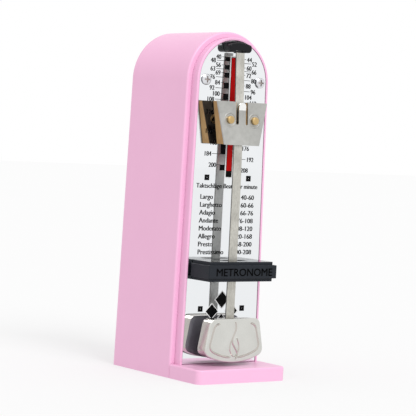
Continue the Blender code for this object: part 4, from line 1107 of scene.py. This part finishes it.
def winding_key():
    """The key on the casing's right side: a round hub with a flat grip across it."""
    y, z = BARREL_AXIS
    hub = sharp_edges(cylinder(3.4, KEY_X, KEY_HUB_END, BARREL_AXIS, "X", 48), 0.4, 3)
    (start, end), half, thick_half, corners = KEY_WING, 9.5, 1.4, (1.0, 4.0, 4.0, 1.0)
    wing = box_outline(start, y - half, end, y + half, corners, 10)
    wing = sharp_edges(prism([wing], z - thick_half, z + thick_half, "Z"), 0.6, 3)
    key = boolean(hub, [wing], "UNION")
    key = boolean(key, [cylinder(1.3, KEY_X - 1, 31.3, BARREL_AXIS, "X")])
    piece("key_grip", key, "black", "winding_arbor", ["winding_key"])


# --- CAD nodes that stay ------------------------------------------------------------------------------------

# The finish of a node's slot
SLOT_FINISH = {
    "pink_plastic": "pink",
    "black_plastic": "black",
    "mirror_plate": "mirror",
    "nickel": "rod",
    "steel": "steel",
    "brass": "brass",
    "spring_steel": "spring",
    "rubber": "rubber",
}


def finish_nodes():
    """Gives every CAD node the finish of its slot."""
    for part in frame["record"]["subparts"]:
        obj = frame["nodes"][part["node"]]
        obj.data.materials.clear()
        obj.data.materials.append(MATERIALS[SLOT_FINISH[part["material_slot"]]])


# --- Stage --------------------------------------------------------------------------------------------------


def camera():
    """A long lens from the front left, a little above the middle, with the picture's small roll."""
    yaw, pitch, roll = radians(36.46), radians(2.40), radians(2.91)
    place = (-0.4951, -0.6596, 0.1127)
    ahead = Vector((sin(yaw) * cos(pitch), cos(yaw) * cos(pitch), -sin(pitch)))
    right = Vector((cos(yaw), -sin(yaw), 0))
    up = right.cross(ahead)
    side = right * cos(roll) + up * sin(roll)
    top = up * cos(roll) - right * sin(roll)
    data = bpy.data.cameras.new("camera")
    data.lens = 153.8
    data.sensor_width = 36.0
    data.clip_start = 0.01
    obj = bpy.data.objects.new("camera", data)
    turn = Matrix((side, top, -ahead)).transposed()
    obj.matrix_world = Matrix.Translation(place) @ turn.to_4x4()
    bpy.context.scene.collection.objects.link(obj)
    bpy.context.scene.camera = obj


def light(name, place, target, spread, strength):
    """A far, soft light that shines from place towards target; spread is its width in degrees."""
    data = bpy.data.lights.new(name, "SUN")
    data.angle = radians(spread)
    data.energy = strength
    obj = bpy.data.objects.new(name, data)
    obj.location = place
    obj.rotation_euler = (Vector(target) - Vector(place)).to_track_quat("-Z", "Y").to_euler()
    bpy.context.scene.collection.objects.link(obj)


def studio():
    """A pale floor that glows faintly to stay white at a distance, a white sky and one soft light."""
    white = (1.0, 1.0, 1.0, 1.0)
    shape = bmesh.new()
    bmesh.ops.create_grid(shape, x_segments=2, y_segments=2, size=4.0)
    mesh = bpy.data.meshes.new("floor")
    shape.to_mesh(mesh)
    shape.free()
    floor = bpy.data.objects.new("floor", mesh)
    bpy.context.scene.collection.objects.link(floor)
    surface = Surface("floor", Roughness=0.6, Specular_IOR_Level=0.0, Emission_Strength=0.56)
    surface.shader.inputs["Emission Color"].default_value = white
    surface.colour(surface.mixed(surface.noise(3.0), (0.31, 0.31, 0.31, 1.0), (0.315, 0.315, 0.315, 1.0)))
    mesh.materials.append(surface.material)
    world = bpy.data.worlds.new("world")
    world.use_nodes = True
    background = world.node_tree.nodes["Background"]
    background.inputs["Color"].default_value = white
    background.inputs["Strength"].default_value = 1.0
    bpy.context.scene.world = world
    light("key", (-0.05, -0.74, 0.68), (0, 0, 0.05), 30, 1.6)
    bpy.context.scene.view_settings.view_transform = "Standard"


def main():
    finish_nodes()
    case_shell()
    front_and_foot()
    scale_sheet()
    plate_print()
    screws()
    pads()
    clip()
    guard()
    rod()
    bob()
    slider()
    winding_key()
    camera()
    studio()


main()
